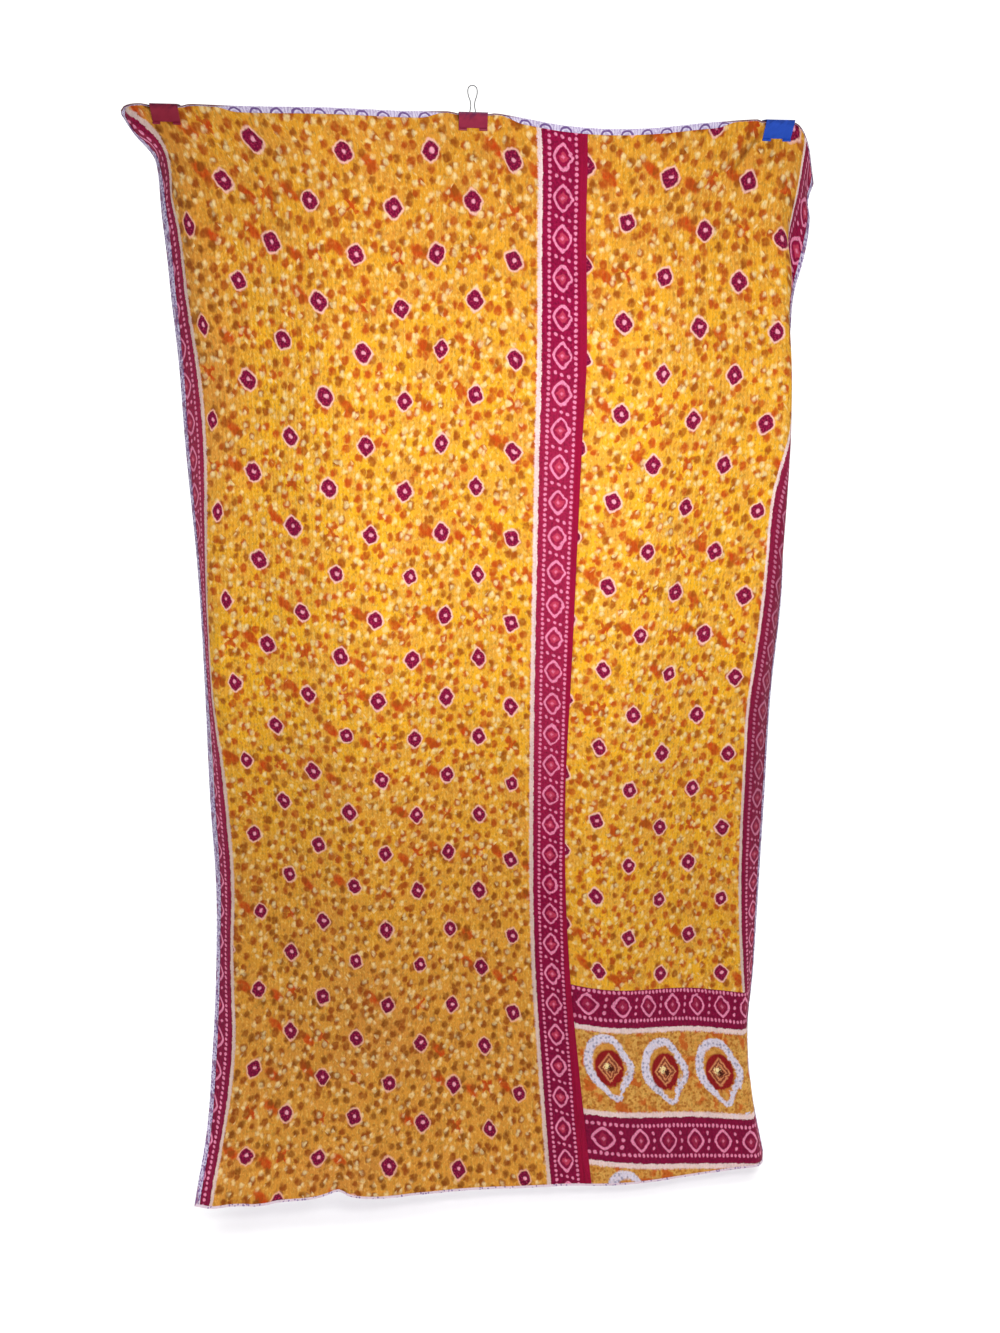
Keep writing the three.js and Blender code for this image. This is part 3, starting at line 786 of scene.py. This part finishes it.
# How far the cloth is drawn to the left of and above its even print, at four places across.
LEFT_STRAY_ACROSS = (94, 322, 548, 697)
LEFT_STRAY = [
    [0, 8, 4, 1, 2, 2, -1, -1, -2],
    [150, 6, 2, -3, -2, 0, -3, 0, -2],
    [400, 2, -8, -10, -3, 2, 2, 3, 3],
    [700, 0, -10, -10, -1, 0, 4, 6, 8],
    [1000, 4, -11, -11, -2, 3, 7, 10, 10],
    [1300, 4, -4, -2, -2, 7, 9, 8, 7],
    [1600, -1, -5, -2, -2, 5, 8, 2, 4],
    [2040, 1, -8, -7, -1, 4, 1, 0, 2],
    [2130, 2, -9, -8, -1, -3, -15, -6, 1],
]


def strays(table, places, across, drop):
    """The strays across and down: smooth curves down the table's columns, joined by straight
    lines between the places."""
    count = len(places)
    part = np.interp(across, places, np.arange(count))
    low = np.clip(part.astype(int), 0, count - 2)
    row = np.arange(len(drop))
    for first in (1, 1 + count):
        curves = np.stack([along(table, drop, first + number) for number in range(count)])
        yield curves[low, row] * (1 - part + low) + curves[low + 1, row] * (part - low)


across_stray, down_stray = strays(LEFT_STRAY, LEFT_STRAY_ACROSS, left_across, left_drop)
even_across, even_drop = left_across + across_stray, left_drop + down_stray
column_step = along(LEFT_COLUMN_STEP, even_drop)
column_place = LEFT_LAST_COLUMN - (LEFT_LAST_ACROSS - even_across) / column_step
strayed = np.clip(column_place, 0, LEFT_LAST_COLUMN)
row_place = (even_drop - along(LEFT_ROWS, strayed)) / along(LEFT_ROWS, strayed, 2)
lay_map(left_panel, "Print", column_place, row_place)

# How far the printed band strays to the right of its middle line.
BAND_SHIFT = [[0, 0], [100, 2], [400, 0], [1500, 1], [1800, 5], [2130, 9]]

# Middle of the side border, which runs a little crooked down the panel's left edge.
# The cloth is drawn out or pushed together there, so its width scale changes too, and the pale
# line beside the ground is stretched or squeezed once more by the last value.
LEFT_BORDER = [
    [0, -28, 0.75, 0.8], [20, -8, 0.75, 0.9], [36, 5, 0.75, 1], [52, 14, 0.75, 1.2],
    [75, 17, 0.78, 1.4], [111, 6, 0.75, 1.5], [140, -6, 0.75, 1.6], [200, 1, 0.75, 1.5],
    [310, 2, 0.75, 1.4], [480, 20, 0.86, 1.3], [575, 26, 0.93, 1.4], [700, 18, 0.86, 1.4],
    [865, 6, 0.84, 1.4], [1050, 6, 0.8, 1.5], [1190, 15, 0.76, 1.5], [1400, 15, 0.75, 1.5],
    [1515, 9, 0.74, 1.5], [1600, 3, 0.74, 1.5], [1700, 5, 0.75, 1.5], [1800, 10, 0.75, 1.5],
    [1900, 7, 0.76, 1.5], [2000, -1, 0.78, 1.5], [2130, -8, 0.8, 1.4],
]
LINE_EDGE = -37
side_out = (along(LEFT_BORDER, left_drop) - left_across) * along(LEFT_BORDER, left_drop, 2)
past_line = np.minimum(side_out - LINE_EDGE, 0)
side_out += past_line * (along(LEFT_BORDER, left_drop, 3) - 1)
middle_out = left_across - BAND_CENTRE - along(BAND_SHIFT, left_drop)
nearest_band = np.maximum(side_out, middle_out)
lay_map(left_panel, "Band", nearest_band * MM, left_drop * MM)

# Painted shade from the stitched relief on the panels: its strength, its lowest light, and the
# thread's light.
PANEL_RELIEF = (0.2, 0.84, 0.16)
AMBER = "e8a636"
GOLD = "f2b01c"
SAND = "dca552"
AMBER_DULL = "d08a38"
BARK = "784412"
OLIVE = "a87c30"
BURNT_ORANGE = "c04c10"
RUST = "a4500e"
CREAM = "fae2a4"
STRAW = "f4cc6a"
ORANGE_RED = "c43c0c"
MAROON = "980a40"
MAROON_DEEP = "5c082c"
PLUM = "8c0e3e"
PALE_PINK = "f8b6ba"
HALO_PINK = "fac4b8"
HEART_PINK = "f0a0b4"
BAND_PINK = "f492b6"
ROSE = "c8405c"
LINE_WHITE = "f0dada"
LINE_GREY = "c4a898"
CRIMSON = "960a34"
COLUMN_STEP = 75
ROW_STEP = 84
MOTIF_HALF = (15.4, 17.4)
HALO_HALF = (18.2, 20.8)
# A leaf blot's place to the right of and below its motif, and its half length and half width.
UPPER_LEAF = (-34, -10, 19, 10)
LOWER_LEAF = (42, 12, 18, 9.5)
LEAF_SLOPE = (0.77, 0.64)
DARK_SPACING = 23.5
PALE_SPACING = 18
SMALL_SPACING = 13


def tied_ground(across, drop):
    """The printed ground: the amber, its strewn cream and rust dots, the orange leaf blots
    beside some motifs, the small crosses between them, and the maroon diamond motifs. From
    column p and row q, the nearest motif is at the whole numbers next to (p + q) / 2 and
    (p - q) / 2, and the cream dots gather on the diagonals halfway between two motifs."""
    columns, rows = map_amounts(across.tree, "Print", 1)
    first = (columns + rows) / 2
    second = (columns - rows) / 2
    one, two = first.maths("ROUND"), second.maths("ROUND")
    number = chance(one, two, 1.5)
    other_number = chance(one, two, 7.5)
    stray = mottle(across, drop, 11, 4.4)
    stray_too = mottle(across, drop, 11, 9.4)
    right = (columns - one - two) * COLUMN_STEP + (number - 0.5) * 5
    down = (rows - one + two) * ROW_STEP + (other_number - 0.5) * 5
    lean = (other_number - 0.3) * 0.5
    drawn_in = across.rise(128, 104) * drop.rise(1320, 1150) * 0.6 + 1
    tilted_right = right * drawn_in + down * lean + stray * 1.5
    tilted_down = down - right * lean + stray_too * 1.5
    growth = number * 0.14 + 0.93
    body, halo = [
        (tilted_right.size() / (growth * half_right)).power(roundness)
        + (tilted_down.size() / (growth * half_down)).power(roundness)
        for (half_right, half_down), roundness in ((MOTIF_HALF, 1.45), (HALO_HALF, 1.4))
    ]
    printed = (one.size() + two.size()).over(0.5)
    heart = distance(tilted_right - 1, tilted_down + 1) + stray * 1.5

    # Painted shade: browner and darker along the left edge, towards the foot, a little at the top.
    painted_shade = across.rise(230, 60) * drop.rise(1000, 350) * 0.85
    foot_share = 0.8 - across.rise(700, 900) * 0.65
    painted_shade = painted_shade.most(drop.rise(900, 1900) * foot_share)
    painted_shade = painted_shade.most(drop.rise(520, 60) * 0.35)
    light = mottle(across, drop, 46, 1.1, 3)
    faded = mottle(across, drop, 240, 4.1)
    flecks = mottle(across, drop * 0.6, 6, 3.3, 3)
    dabs = mottle(across * 1.2, drop * 0.7, 6, 5.3)

    def leaf(from_right, from_down, half_length, half_width):
        x, y = right - from_right, down - from_down
        along_leaf = (x * LEAF_SLOPE[0] + y * LEAF_SLOPE[1]) / half_length + stray * 0.12
        over_leaf = (y * LEAF_SLOPE[0] - x * LEAF_SLOPE[1]) / half_width + stray_too * 0.2
        return distance(along_leaf, over_leaf).within(1, 0.7)

    leaf_number = chance(one, two, 3.5)
    leaves = (leaf(*UPPER_LEAF) * leaf_number.over(0.6)).most(
        leaf(*LOWER_LEAF) * leaf_number.off(1, 0.62).near(0.17, 0.01)
    )
    # A small cross stands in some of the gaps, each midway between four motifs.
    gap_right = ((columns + 1 + rows) / 2).maths("ROUND")
    gap_left = ((columns + 1 - rows) / 2).maths("ROUND")
    cross_x = (columns + 1 - gap_right - gap_left) * COLUMN_STEP + stray * 3.5
    cross_y = (rows - gap_right + gap_left) * ROW_STEP + stray_too * 3.5
    arms = (cross_x.size() - cross_y.size() * 0.85).near(4.6, 3)
    crosses = arms * distance(cross_x, cross_y).within(17, 9)
    crosses = crosses * chance(gap_right, gap_left, 2.5).over(0.58)

    # The strewn dots lean a little, and their sizes differ.
    dot_x = across + drop * 0.22 + stray * 2.2
    dot_y = drop * 0.86 - across * 0.16 + stray_too * 2.2
    dark, dark_number = scattered(dot_x, dot_y, DARK_SPACING, 0, 0.85)
    pale, pale_number = scattered(dot_x, dot_y, PALE_SPACING, 11.5, 0.9)
    small, small_number = scattered(dot_x, dot_y, SMALL_SPACING, 23.5, 0.9)
    chain = first.off(1, 0.5).size().least(second.off(1, 0.5).size()).rise(0.15, 0.07)
    dark_spot = (dark - dark_number.off(0.31).size() * 18 - 5.6).rise(2.8, -2.8)
    pale_spot = (pale - pale_number.off(0.31).size() * 10 - 3.4).rise(2.8, -2.8)
    pale_spot = pale_spot * (pale_number * 0.85 + chain * 0.5).over(0.6)
    pale_share = stray_too.rise(-0.6, 0.4) * 0.3 + 0.48 - painted_shade * 0.15
    small_spot = (small - 2.8).rise(2, -2) * small_number.over(0.5)
    dark_colour = paint(BURNT_ORANGE, dark_number.off(0.43).size().rise(0.08, 0.16), RUST)
    dark_colour = paint(dark_colour, painted_shade * 0.85, BARK)
    leaf_colour = paint(ORANGE_RED, stray_too.rise(-0.7, 0.9) * 0.4, RUST)
    tone = mottle(across, drop, 3.6, 6.1)
    core = layered(
        PLUM,
        (tone.rise(-0.1, 0.6) * 0.8, MAROON_DEEP),
        (painted_shade * 0.45, MAROON_DEEP),
        (tone.rise(-0.35, -0.8) * 0.6, ROSE),
    )
    return layered(
        AMBER,
        (light.rise(-0.6, 0.5) * 0.85, GOLD),
        ((faded.rise(-0.2, 1.2) * 0.25 + painted_shade).least(1), AMBER_DULL),
        (drop.rise(560, 60) * 0.12, BURNT_ORANGE),
        (flecks.rise(0.1, 1) * 0.6, OLIVE),
        (dabs.rise(0.1, 0.9) * (0.6 - painted_shade * 0.3), STRAW),
        (leaves.most(crosses) * (stray.rise(0.9, -0.7) * 0.2 + 0.76), leaf_colour),
        (small_spot * 0.4, dark_colour),
        (dark_spot * (stray.rise(-0.6, 0.4) * 0.25 + 0.72), dark_colour),
        (pale_spot * pale_share, CREAM),
        (halo.rise(1.2, 0.9) * printed * 0.95, paint(HALO_PINK, painted_shade * 0.5, AMBER_DULL)),
        (body.rise(1.14, 0.88) * printed, core),
        (heart.within(3.8, 3.2) * printed, HEART_PINK),
    )


DIAMOND_PITCH = 67.5
DIAMOND_FIRST = 52
DOT_PITCH = 9.8
DOT_LINE = 24
THREE_DOTS_STEP = 12
SELVEDGE_FROM = 28
# Half the width and half the length of a border's diamonds, and how rosy they are inside.
BAND_DIAMOND = (16, 21.5, 0.8)


def diamond_band(ground, out, run, across, drop, diamond, selvedge):
    """A border of the same cloth, drawn from how far out a place is from the border's middle,
    negative towards the ground, and how far along it is: a pale line and a maroon stripe, a
    row of dots on either side, diamonds with three dots between, and the plain selvedge."""
    half_out, half_run, glow = diamond
    stray = mottle(across, drop, 12, 2.2)
    rough = mottle(across, drop, 3, 7.1, 1)
    tone = mottle(across, drop, 5, 8.8)
    out = out + stray
    run = run + mottle(across, drop, 12, 5.2)
    from_diamond = run.off(DIAMOND_PITCH, DIAMOND_FIRST)
    reach = (out.size() / half_out).power(1.35) + (from_diamond.size() / half_run).power(1.35)
    outline = (reach + stray * 0.1 - 1).near(0.19, 0.14)
    blot = (out.size() + from_diamond.size() + stray * 4).within(10, 4)
    eye = (out.size() + from_diamond.size()).within(3.8, 2.4)
    from_gap = run.off(DIAMOND_PITCH, DIAMOND_FIRST + DIAMOND_PITCH / 2) - out * 0.25
    three_dots = distance(out.off(THREE_DOTS_STEP), from_gap).within(3.2, 1.8)
    three_dots = three_dots * out.near(18, 1)
    line_dots = distance(out.size() - DOT_LINE, run.off(DOT_PITCH)).within(3.1, 1.8)
    pale = (outline + three_dots).least(1) * out.near(21.5, 1)
    base = layered(
        MAROON,
        (tone.rise(-0.3, 1) * 0.6, MAROON_DEEP),
        (tone.rise(-0.6, -1.4) * 0.5, ROSE),
        # Painted light and shade: rosier at middle drops, darker towards the foot.
        (drop.rise(300, 600) * drop.rise(1500, 1100) * 0.2, ROSE),
        (drop.rise(1300, 1900) * 0.35, MAROON_DEEP),
        (rough.rise(0.2, 1) * 0.5, MAROON_DEEP),
        (blot * glow, ROSE),
        ((pale + line_dots + eye * 0.6).least(1) * (rough * 0.2 + 0.85), BAND_PINK),
        (
            out.rise(SELVEDGE_FROM - 0.6, SELVEDGE_FROM + 0.6) * selvedge,
            paint(CRIMSON, tone.rise(-0.4, 1.2) * 0.6, MAROON),
        ),
    )
    # The pale line is greyer down the cloth and towards the left edge.
    greyed = drop.rise(600, 1700).most(across.rise(500, 200)) * (selvedge * 0.4 + 0.1)
    line = layered(LINE_WHITE, (rough.rise(-0.2, 1.2) * 0.5, PALE_PINK), (greyed, LINE_GREY))
    return layered(
        ground,
        ((out + rough * 1.4).rise(-47.4, -43.8) * 0.9, line),
        ((out + rough * 0.9).rise(-38, -36.4), base),
    )


left_print, tree, across, drop = cloth_material("left_print")
out, run = map_amounts(tree, "Band", 1 / MM)
colour = tied_ground(across, drop)
colour = diamond_band(colour, out, run, across, drop, BAND_DIAMOND, 1)
finish_cotton(left_panel, left_print, colour, across, drop, *PANEL_RELIEF)
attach(left_panel, "root")
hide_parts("left_panel")


# ---------------------------- right panel
# The narrower sari length, with its own right-hand border and the cloth's end panel at its foot.
# Its left edge is hidden under the centre band.

RIGHT_COLUMNS = 52

right_panel, right_across, right_drop = cloth_body(
    "right_panel_sewn",
    lines=[
        lambda drop: lap_start(drop) + LAP_ROOM, lap_end,
        *[
            (lambda drop, share=share: lap_end(drop) + (RIGHT_FOLD[0] - lap_end(drop)) * share)
            for share in spaced(0, 1, 1 / RIGHT_COLUMNS)
        ],
        RIGHT_FOLD[0], *spaced(*RIGHT_FOLD, 5), turned_right, BESIDE_RIGHT, QUILT_WIDTH - INSET,
    ],
    drops=[INSET, BELOW_TOP, TURNED_TOP, *shared_drops, *foot_drops],
    heights=[PANEL_BACK, PANEL_FACE],
    is_there=lambda across, drop, height, row: (across + drop + height) > 0,
)

RIGHT_LAST_COLUMN = 5
RIGHT_FIRST_COLUMN = [
    [0, 908], [150, 904], [325, 896], [490, 893], [660, 888], [1000, 886], [1500, 888], [2130, 898],
]
RIGHT_COLUMN_STEP = [[0, 77], [150, 78], [330, 75.5], [560, 73], [700, 74.3], [2130, 74.3]]
RIGHT_ROWS = [
    [0, -25, 83.4], [1, -11, 83.8], [2, 2, 84], [3, 9, 84], [4, 15, 84], [5, 16, 84.3],
]
RIGHT_STRAY_ACROSS = (888, 1036, 1188)
RIGHT_STRAY = [
    [0, 1, -3, 8, -2, -1, 5],
    [110, 1, -2, 2, -1, 0, -4],
    [400, 0, 3, 1, 0, 4, -3],
    [800, 0, 4, -2, 9, 6, 0],
    [1200, 2, 4, -3, 12, 5, 2],
    [1700, -1, 1, -1, 9, 5, 6],
    [2130, -1, 1, -1, 9, 5, 6],
]
across_stray, down_stray = strays(RIGHT_STRAY, RIGHT_STRAY_ACROSS, right_across, right_drop)
even_across, even_drop = right_across + across_stray, right_drop + down_stray
from_first = even_across - along(RIGHT_FIRST_COLUMN, even_drop)
column_place = 1 + from_first / along(RIGHT_COLUMN_STEP, even_drop)
strayed = np.clip(column_place, 0, RIGHT_LAST_COLUMN)
row_place = 1 + (even_drop - along(RIGHT_ROWS, strayed)) / along(RIGHT_ROWS, strayed, 2)
lay_map(right_panel, "Print", column_place, row_place)

# The side border runs down to the end panel, whose own two borders run across the cloth. All
# three are drawn as the centre band is, so each place takes the distance out from its own one.
RIGHT_BORDER = [
    [0, 1279], [160, 1283], [500, 1281], [600, 1267], [660, 1260], [720, 1261], [790, 1266],
    [940, 1270], [1105, 1267], [1190, 1271], [1350, 1276], [1515, 1279], [1680, 1284],
    [1800, 1288], [2130, 1292],
]
RIGHT_LINE = [[0, 2.2], [300, 2], [600, 1.8], [1500, 1.6], [2130, 1.2]]
RIGHT_DIAMOND_FIRST = 22
END_SLANT = 0.13
END_SLANT_FROM = 1050
END_PANEL_TOP = 1719
END_PANEL_MIDDLE = 1904
UPPER_BORDER = 1756
LOWER_BORDER = 2051
END_BORDER_SCALE = 0.77
RIGHT_BORDER_SCALE = 0.9
UPPER_RUN = (1066, 1.13)
LOWER_RUN = (1098, 1.03)
DRAWN_OUT_BEFORE = 955
DRAWN_OUT_BY = 0.28
slanted_drop = right_drop - END_SLANT * (right_across - END_SLANT_FROM)
side_out = (right_across - along(RIGHT_BORDER, right_drop)) * RIGHT_BORDER_SCALE
past_line = np.minimum(side_out - LINE_EDGE, 0)
side_out += past_line * (along(RIGHT_LINE, right_drop) - 1)
lay_map(right_panel, "Band", side_out * MM, slanted_drop * MM)

# Each medallion is an egg-shaped ring whose reach from its middle changes with the angle,
# in turns from the right and downwards.
MEDALLION_FIRST = 905
MEDALLION_STEP = 131
MEDALLION_ROW = 1905
MEDALLION_ROW_STEP = 294
FIRST_RAISED = 9
LOWER_ROW_FROM = 2010
LOWER_ROW_SAG = 0.12
LOWER_ROW_RIGHT = 31
MEDALLION_REACH = (
    (0, 57), (0.05, 55), (0.105, 53), (0.17, 60), (0.212, 74), (0.245, 67), (0.318, 52),
    (0.395, 51), (0.5, 56), (0.589, 63), (0.65, 72), (0.736, 77), (0.819, 64), (0.889, 54),
    (0.96, 56), (1, 57),
)
RING_WHITE = "ddd4e6"
RING_BLUE = "6f6c8c"
DARK_RED = "94191b"
CRIMSON_BROWN = "6e1414"
ORANGE = "dd9260"
DARK_BROWN = "4a1a10"
RED_HALF = (33, 41)
LOZENGE_HALF = (26, 34)


def medallions(ground, across, slanted, drop):
    """A row of ring medallions: a pale ring with small blue-grey dots, a dark red ring, and an
    orange lozenge with a small pale and dark check in it."""
    stray = mottle(across, drop, 10, 3.8)
    lower = drop.over(LOWER_ROW_FROM)
    right = (across - lower * LOWER_ROW_RIGHT).off(MEDALLION_STEP, MEDALLION_FIRST) + stray
    sag = lower * (across - MEDALLION_FIRST) * LOWER_ROW_SAG
    raised = across.rise(980, 960) * FIRST_RAISED
    down = (slanted - sag + raised).off(MEDALLION_ROW_STEP, MEDALLION_ROW) + stray
    turn = (down.maths("ARCTAN2", right) / (2 * math.pi)).maths("WRAP", 1, 0)
    curve = add_node(across.tree, "FloatCurve", {"Value": turn})
    points = curve.mapping.curves[0].points
    for _ in MEDALLION_REACH[2:]:
        points.new(0.5, 0.5)
    for point, (angle, reach) in zip(points, MEDALLION_REACH):
        point.location = (angle, reach / 100)
    curve.mapping.update()
    rough = mottle(across, drop, 4, 1.9)
    past_edge = distance(right, down) - Amount(curve.outputs["Value"]) * 100
    past_edge = past_edge + stray * 1.2 + rough * 1.8
    dots, dot_number = scattered(across, drop, 9.5, 6, 0.9)
    ring = layered(
        RING_WHITE,
        (rough.rise(-0.3, 1.1) * 0.6, LINE_WHITE),
        (mottle(across, drop, 6, 5.9).rise(0.1, 1) * 0.45, RING_BLUE),
        (dots.within(2.6, 2.8) * dot_number.over(0.45) * 0.6, RING_BLUE),
    )
    thick = down.rise(10, 60) * -5 + 18 - right * 0.05 + stray * 2
    egg = distance(right / RED_HALF[0], (down + 2) / RED_HALF[1]) + stray * 0.05
    lozenge = right.size() / LOZENGE_HALF[0] + (down + 2).size() / LOZENGE_HALF[1] + stray * 0.07
    nested = (lozenge + rough * 0.06).off(0.36, 0.74).near(0.1, 0.1)
    pale = distance(right + 5, down + 5) + rough * 5
    dark = distance(right - 3, down) + rough * 4
    return layered(
        ground,
        (past_edge.within(0, 4), ring),
        (
            (past_edge + thick).within(0, 6),
            paint(ground, stray.rise(-0.4, 0.4) * 0.3 + 0.3, AMBER_DULL),
        ),
        (egg.within(1, 0.14), paint(DARK_RED, rough.rise(-0.3, 1) * 0.6, CRIMSON_BROWN)),
        (lozenge.within(1, 0.16) * 0.9, ORANGE),
        (nested * lozenge.within(0.95, 0.1) * 0.85, CRIMSON_BROWN),
        (pale.within(7, 4), CREAM),
        (dark.within(6, 3.5), DARK_BROWN),
    )


END_DIAMOND = (17, 19, 0.3)
EMBER = "c4561a"
# Painted shade: the crease beside the clip is painted dark. It runs down to the left from here.
CREASE_FROM = (1156, 14)
CREASE_LEFT, CREASE_DOWN = 0.59, 0.81

right_print, tree, across, drop = cloth_material("right_print")
side_out, slanted = map_amounts(tree, "Band", 1 / MM)
side = diamond_band(
    tied_ground(across, drop), side_out, drop - RIGHT_DIAMOND_FIRST, across, drop,
    BAND_DIAMOND, 1,
)
# Painted shade: the side border is darker where it turns back, away from the front.
turned_away_shade = drop.rise(500, 700) * drop.rise(1600, 1200) * side_out.rise(-39, -36)
side = paint(side, turned_away_shade * 0.4, MAROON_DEEP)
smoke = mottle(across, drop, 26, 6.5, 3)
splash, splash_number = scattered(across + smoke * 12, drop + smoke * 9, 34, 2.7, 1)
splashes = (splash - splash_number * 10).rise(8, 0)
splashes = splashes * splash_number.off(0.37).size().over(0.07)
speck, speck_number = scattered(across, drop, 12, 9.7, 1)
end_ground = layered(
    SAND,
    (smoke.rise(-0.4, 0.8) * 0.8, AMBER_DULL),
    (mottle(across, drop, 7, 7.9, 3).rise(0, 1) * 0.7, OLIVE),
    (mottle(across, drop, 5, 4.9, 3).rise(0.2, 1.2) * 0.35, STRAW),
    (mottle(across, drop, 11, 3.3, 3).rise(-0.1, 0.6) * 0.6, RUST),
    (splashes * 0.85, EMBER),
    (speck.within(2.6, 2.4) * speck_number.over(0.45) * 0.7, RUST),
)
lower = slanted.over(END_PANEL_MIDDLE)
end_out = choose(lower, (slanted - LOWER_BORDER).size() * -1, UPPER_BORDER - slanted)
upper_run, lower_run = [(across - start) * scale for start, scale in (UPPER_RUN, LOWER_RUN)]
drawn_out = (DRAWN_OUT_BEFORE - across).most(0) * DRAWN_OUT_BY
end_run = choose(lower, lower_run, upper_run) + drawn_out + DIAMOND_FIRST
end_ground = medallions(end_ground, across, slanted, drop)
ends = diamond_band(
    end_ground, end_out * END_BORDER_SCALE, end_run, across, drop, END_DIAMOND, 0
)
right_of, below = across - CREASE_FROM[0], drop - CREASE_FROM[1]
off_crease = (right_of * CREASE_DOWN + below * CREASE_LEFT).size()
down_crease = below * CREASE_DOWN - right_of * CREASE_LEFT
# Painted shade along the crease.
crease_shade = off_crease.rise(10, 1) * down_crease.rise(105, 60) * down_crease.rise(-6, 6)
colour = layered(side, (slanted.over(END_PANEL_TOP), ends), (crease_shade * 0.55, BARK))
finish_cotton(right_panel, right_print, colour, across, drop, *PANEL_RELIEF)
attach(right_panel, "root")
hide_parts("right_panel")


# ---------------------------- binder clips
# Three steel binder clips, each a bent sheet with rolled lips, spray painted: two maroon and one
# royal blue. The paint is satin and a little uneven. Each clip's top is painted darker as a
# painted reflection, and the middle clip's front lip has a pale line, worn paint with a painted
# highlight.

# Each clip's name, its paint, the darker colour of its painted reflection on top, and how strongly
# its front lip is painted pale with wear and a painted highlight.
CLIPS = (
    ("clip_left", "861832", "5c1030", 0),
    ("clip_centre", "8e1a3c", "5e1446", 0.75),
    ("clip_right", "1a48b4", "123486", 0),
)
WORN_STEEL_AND_HIGHLIGHT = "d8b0b4"
CLIP_DEPTH = 30
LIP_HEIGHT = 1.6
FRONT_FACE = -15


def part_material(name):
    """A new material, and x, y and z of the piece's own space in millimetres."""
    material, tree = new_material(name)
    place = add_node(tree, "TexCoord", {}).outputs["Object"]
    return material, *[amount * (1 / MM) for amount in split_up(place)]


def dress(node, material):
    """Gives a carried-over part its material in each of its object's slots."""
    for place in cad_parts[node].material_slots:
        place.link = "OBJECT"
        place.material = material


for name, paint_colour, reflection_colour, lip_wear_and_highlight in CLIPS:
    lower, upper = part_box(name)
    material, x, y, z = part_material(name + "_paint")
    cloud = mottle(x + y, z, 9, 2.5, 3)
    grain = mottle(x + y, z, 0.6, 7.5)
    down_plate = (upper.z / MM - z) / CLIP_DEPTH
    from_lip = (z - lower.z / MM - LIP_HEIGHT).size()
    # A pale line along the front lip: worn paint and a painted highlight.
    worn_and_highlit = (from_lip + cloud * 0.5).within(0.8, 0.8) * y.rise(FRONT_FACE + 1, FRONT_FACE - 1)
    # Painted reflection: the top of each clip is darker, fading into its paint down the plate.
    colour = paint(reflection_colour, (down_plate + cloud * 0.15).rise(0, 0.5), paint_colour)
    colour = paint(shade(colour, cloud * 0.08 + 1), worn_and_highlit * lip_wear_and_highlight, WORN_STEEL_AND_HIGHLIGHT)
    height = grain * 0.015 + cloud * 0.03
    finish(material, colour, cloud * 0.06 + 0.42, height, Specular_IOR_Level=0.35)
    dress(name, material)


# ---------------------------- wire handles
# Each clip's back handle is one piece of plated spring wire, bent to a round loop and sprung
# into the clip's lip. The plating is grey, with faint marks drawn along it.

WIRE_GREY = "5c5a5c"
WIRE_DARK = "343234"

material, x, y, z = part_material("spring_wire")
cloud = mottle(x + y, z, 5, 1.5, 3)
drawn = mottle((x + y) * 6, z * 0.4, 4, 3.5)
colour = paint(WIRE_GREY, cloud.rise(-0.5, 1) * 0.5, WIRE_DARK)
finish(material, colour, drawn * 0.06 + 0.3, None, Metallic=1)
for clip_name in ("left", "centre", "right"):
    dress("handle_" + clip_name, material)


# ---------------------------- floor and light
# A plain pale floor. Well in front of the quilt it throws little light up, as if a dark cloth
# were laid there out of sight. A soft light hangs in front of the quilt's middle and a weak one
# to the left.

FLOOR_WHITE = "f2f2f2"
FLOOR_GREY = "505050"
FLOOR_HALF = 6
FLOOR_BELOW = 0.06
FLOOR_DARKENS = (-1000, -420)


def seen_by_camera(tree):
    """1 for what the camera sees, 0 for the light that is thrown on other things."""
    return Amount(add_node(tree, "LightPath", {}).outputs["Is Camera Ray"])


floor_mesh = bpy.data.meshes.new("floor")
floor_height = cad_box[0].z - FLOOR_BELOW
floor_corners = [
    (x * FLOOR_HALF, y * FLOOR_HALF, floor_height) for x, y in ((-1, -1), (1, -1), (1, 1), (-1, 1))
]
floor_mesh.from_pydata(floor_corners, [], [(0, 1, 2, 3)])
floor = put_in_scene("floor", floor_mesh)
pale_floor, x, y, z = part_material("pale_floor")
cloud = mottle(x, y, 400, 1.5, 3)
pale = y.rise(*FLOOR_DARKENS).most(seen_by_camera(x.tree)) - (cloud + 1) * 0.01
finish(pale_floor, paint(FLOOR_GREY, pale, FLOOR_WHITE), cloud * 0.05 + 0.85, None)
floor_mesh.materials.append(pale_floor)

# The sky lights the scene from overhead and from behind the quilt and less from in front of it,
# so that most of the light on the printed side comes from the soft lights. It looks white all
# round.
SKY_WHITE = 1.2
SKY_DIM = 0.1
SKY_OVERHEAD = 1.7

sky = bpy.data.worlds.new("sky")
sky.use_nodes = True
tree = sky.node_tree
direction = add_node(tree, "TexCoord", {}).outputs["Generated"]
_, towards_back, towards_top = split_up(direction)
brightness = (towards_back + towards_top * 0.4).rise(-0.1, 0.15) * (SKY_WHITE - SKY_DIM) + SKY_DIM
brightness = brightness + towards_top.rise(0.8, 0.9) * SKY_OVERHEAD
brightness = choose(seen_by_camera(tree), SKY_WHITE, brightness)
plug(brightness, tree.nodes["Background"].inputs["Strength"])
tree.nodes["Background"].inputs["Color"].default_value = (1, 1, 1, 1)
bpy.context.scene.world = sky
bpy.context.scene.view_settings.view_transform = "Standard"

SOFT_LIGHTS = (
    ("middle", (0.17, -1.35, -0.50), (0.12, 0, -0.60), 0.55, 20.5),
    ("left", (-1.8, -2, 0.5), (0, 0, -0.9), 1.2, 6),
)
for name, place, aim, width, power in SOFT_LIGHTS:
    light_data = bpy.data.lights.new(name, "AREA")
    light_data.size = width
    light_data.energy = power
    light = put_in_scene(name, light_data)
    pointing = (Vector(aim) - Vector(place)).to_track_quat("-Z", "Y").to_matrix().to_4x4()
    light.matrix_world = Matrix.Translation(place) @ pointing
    light.visible_camera = False
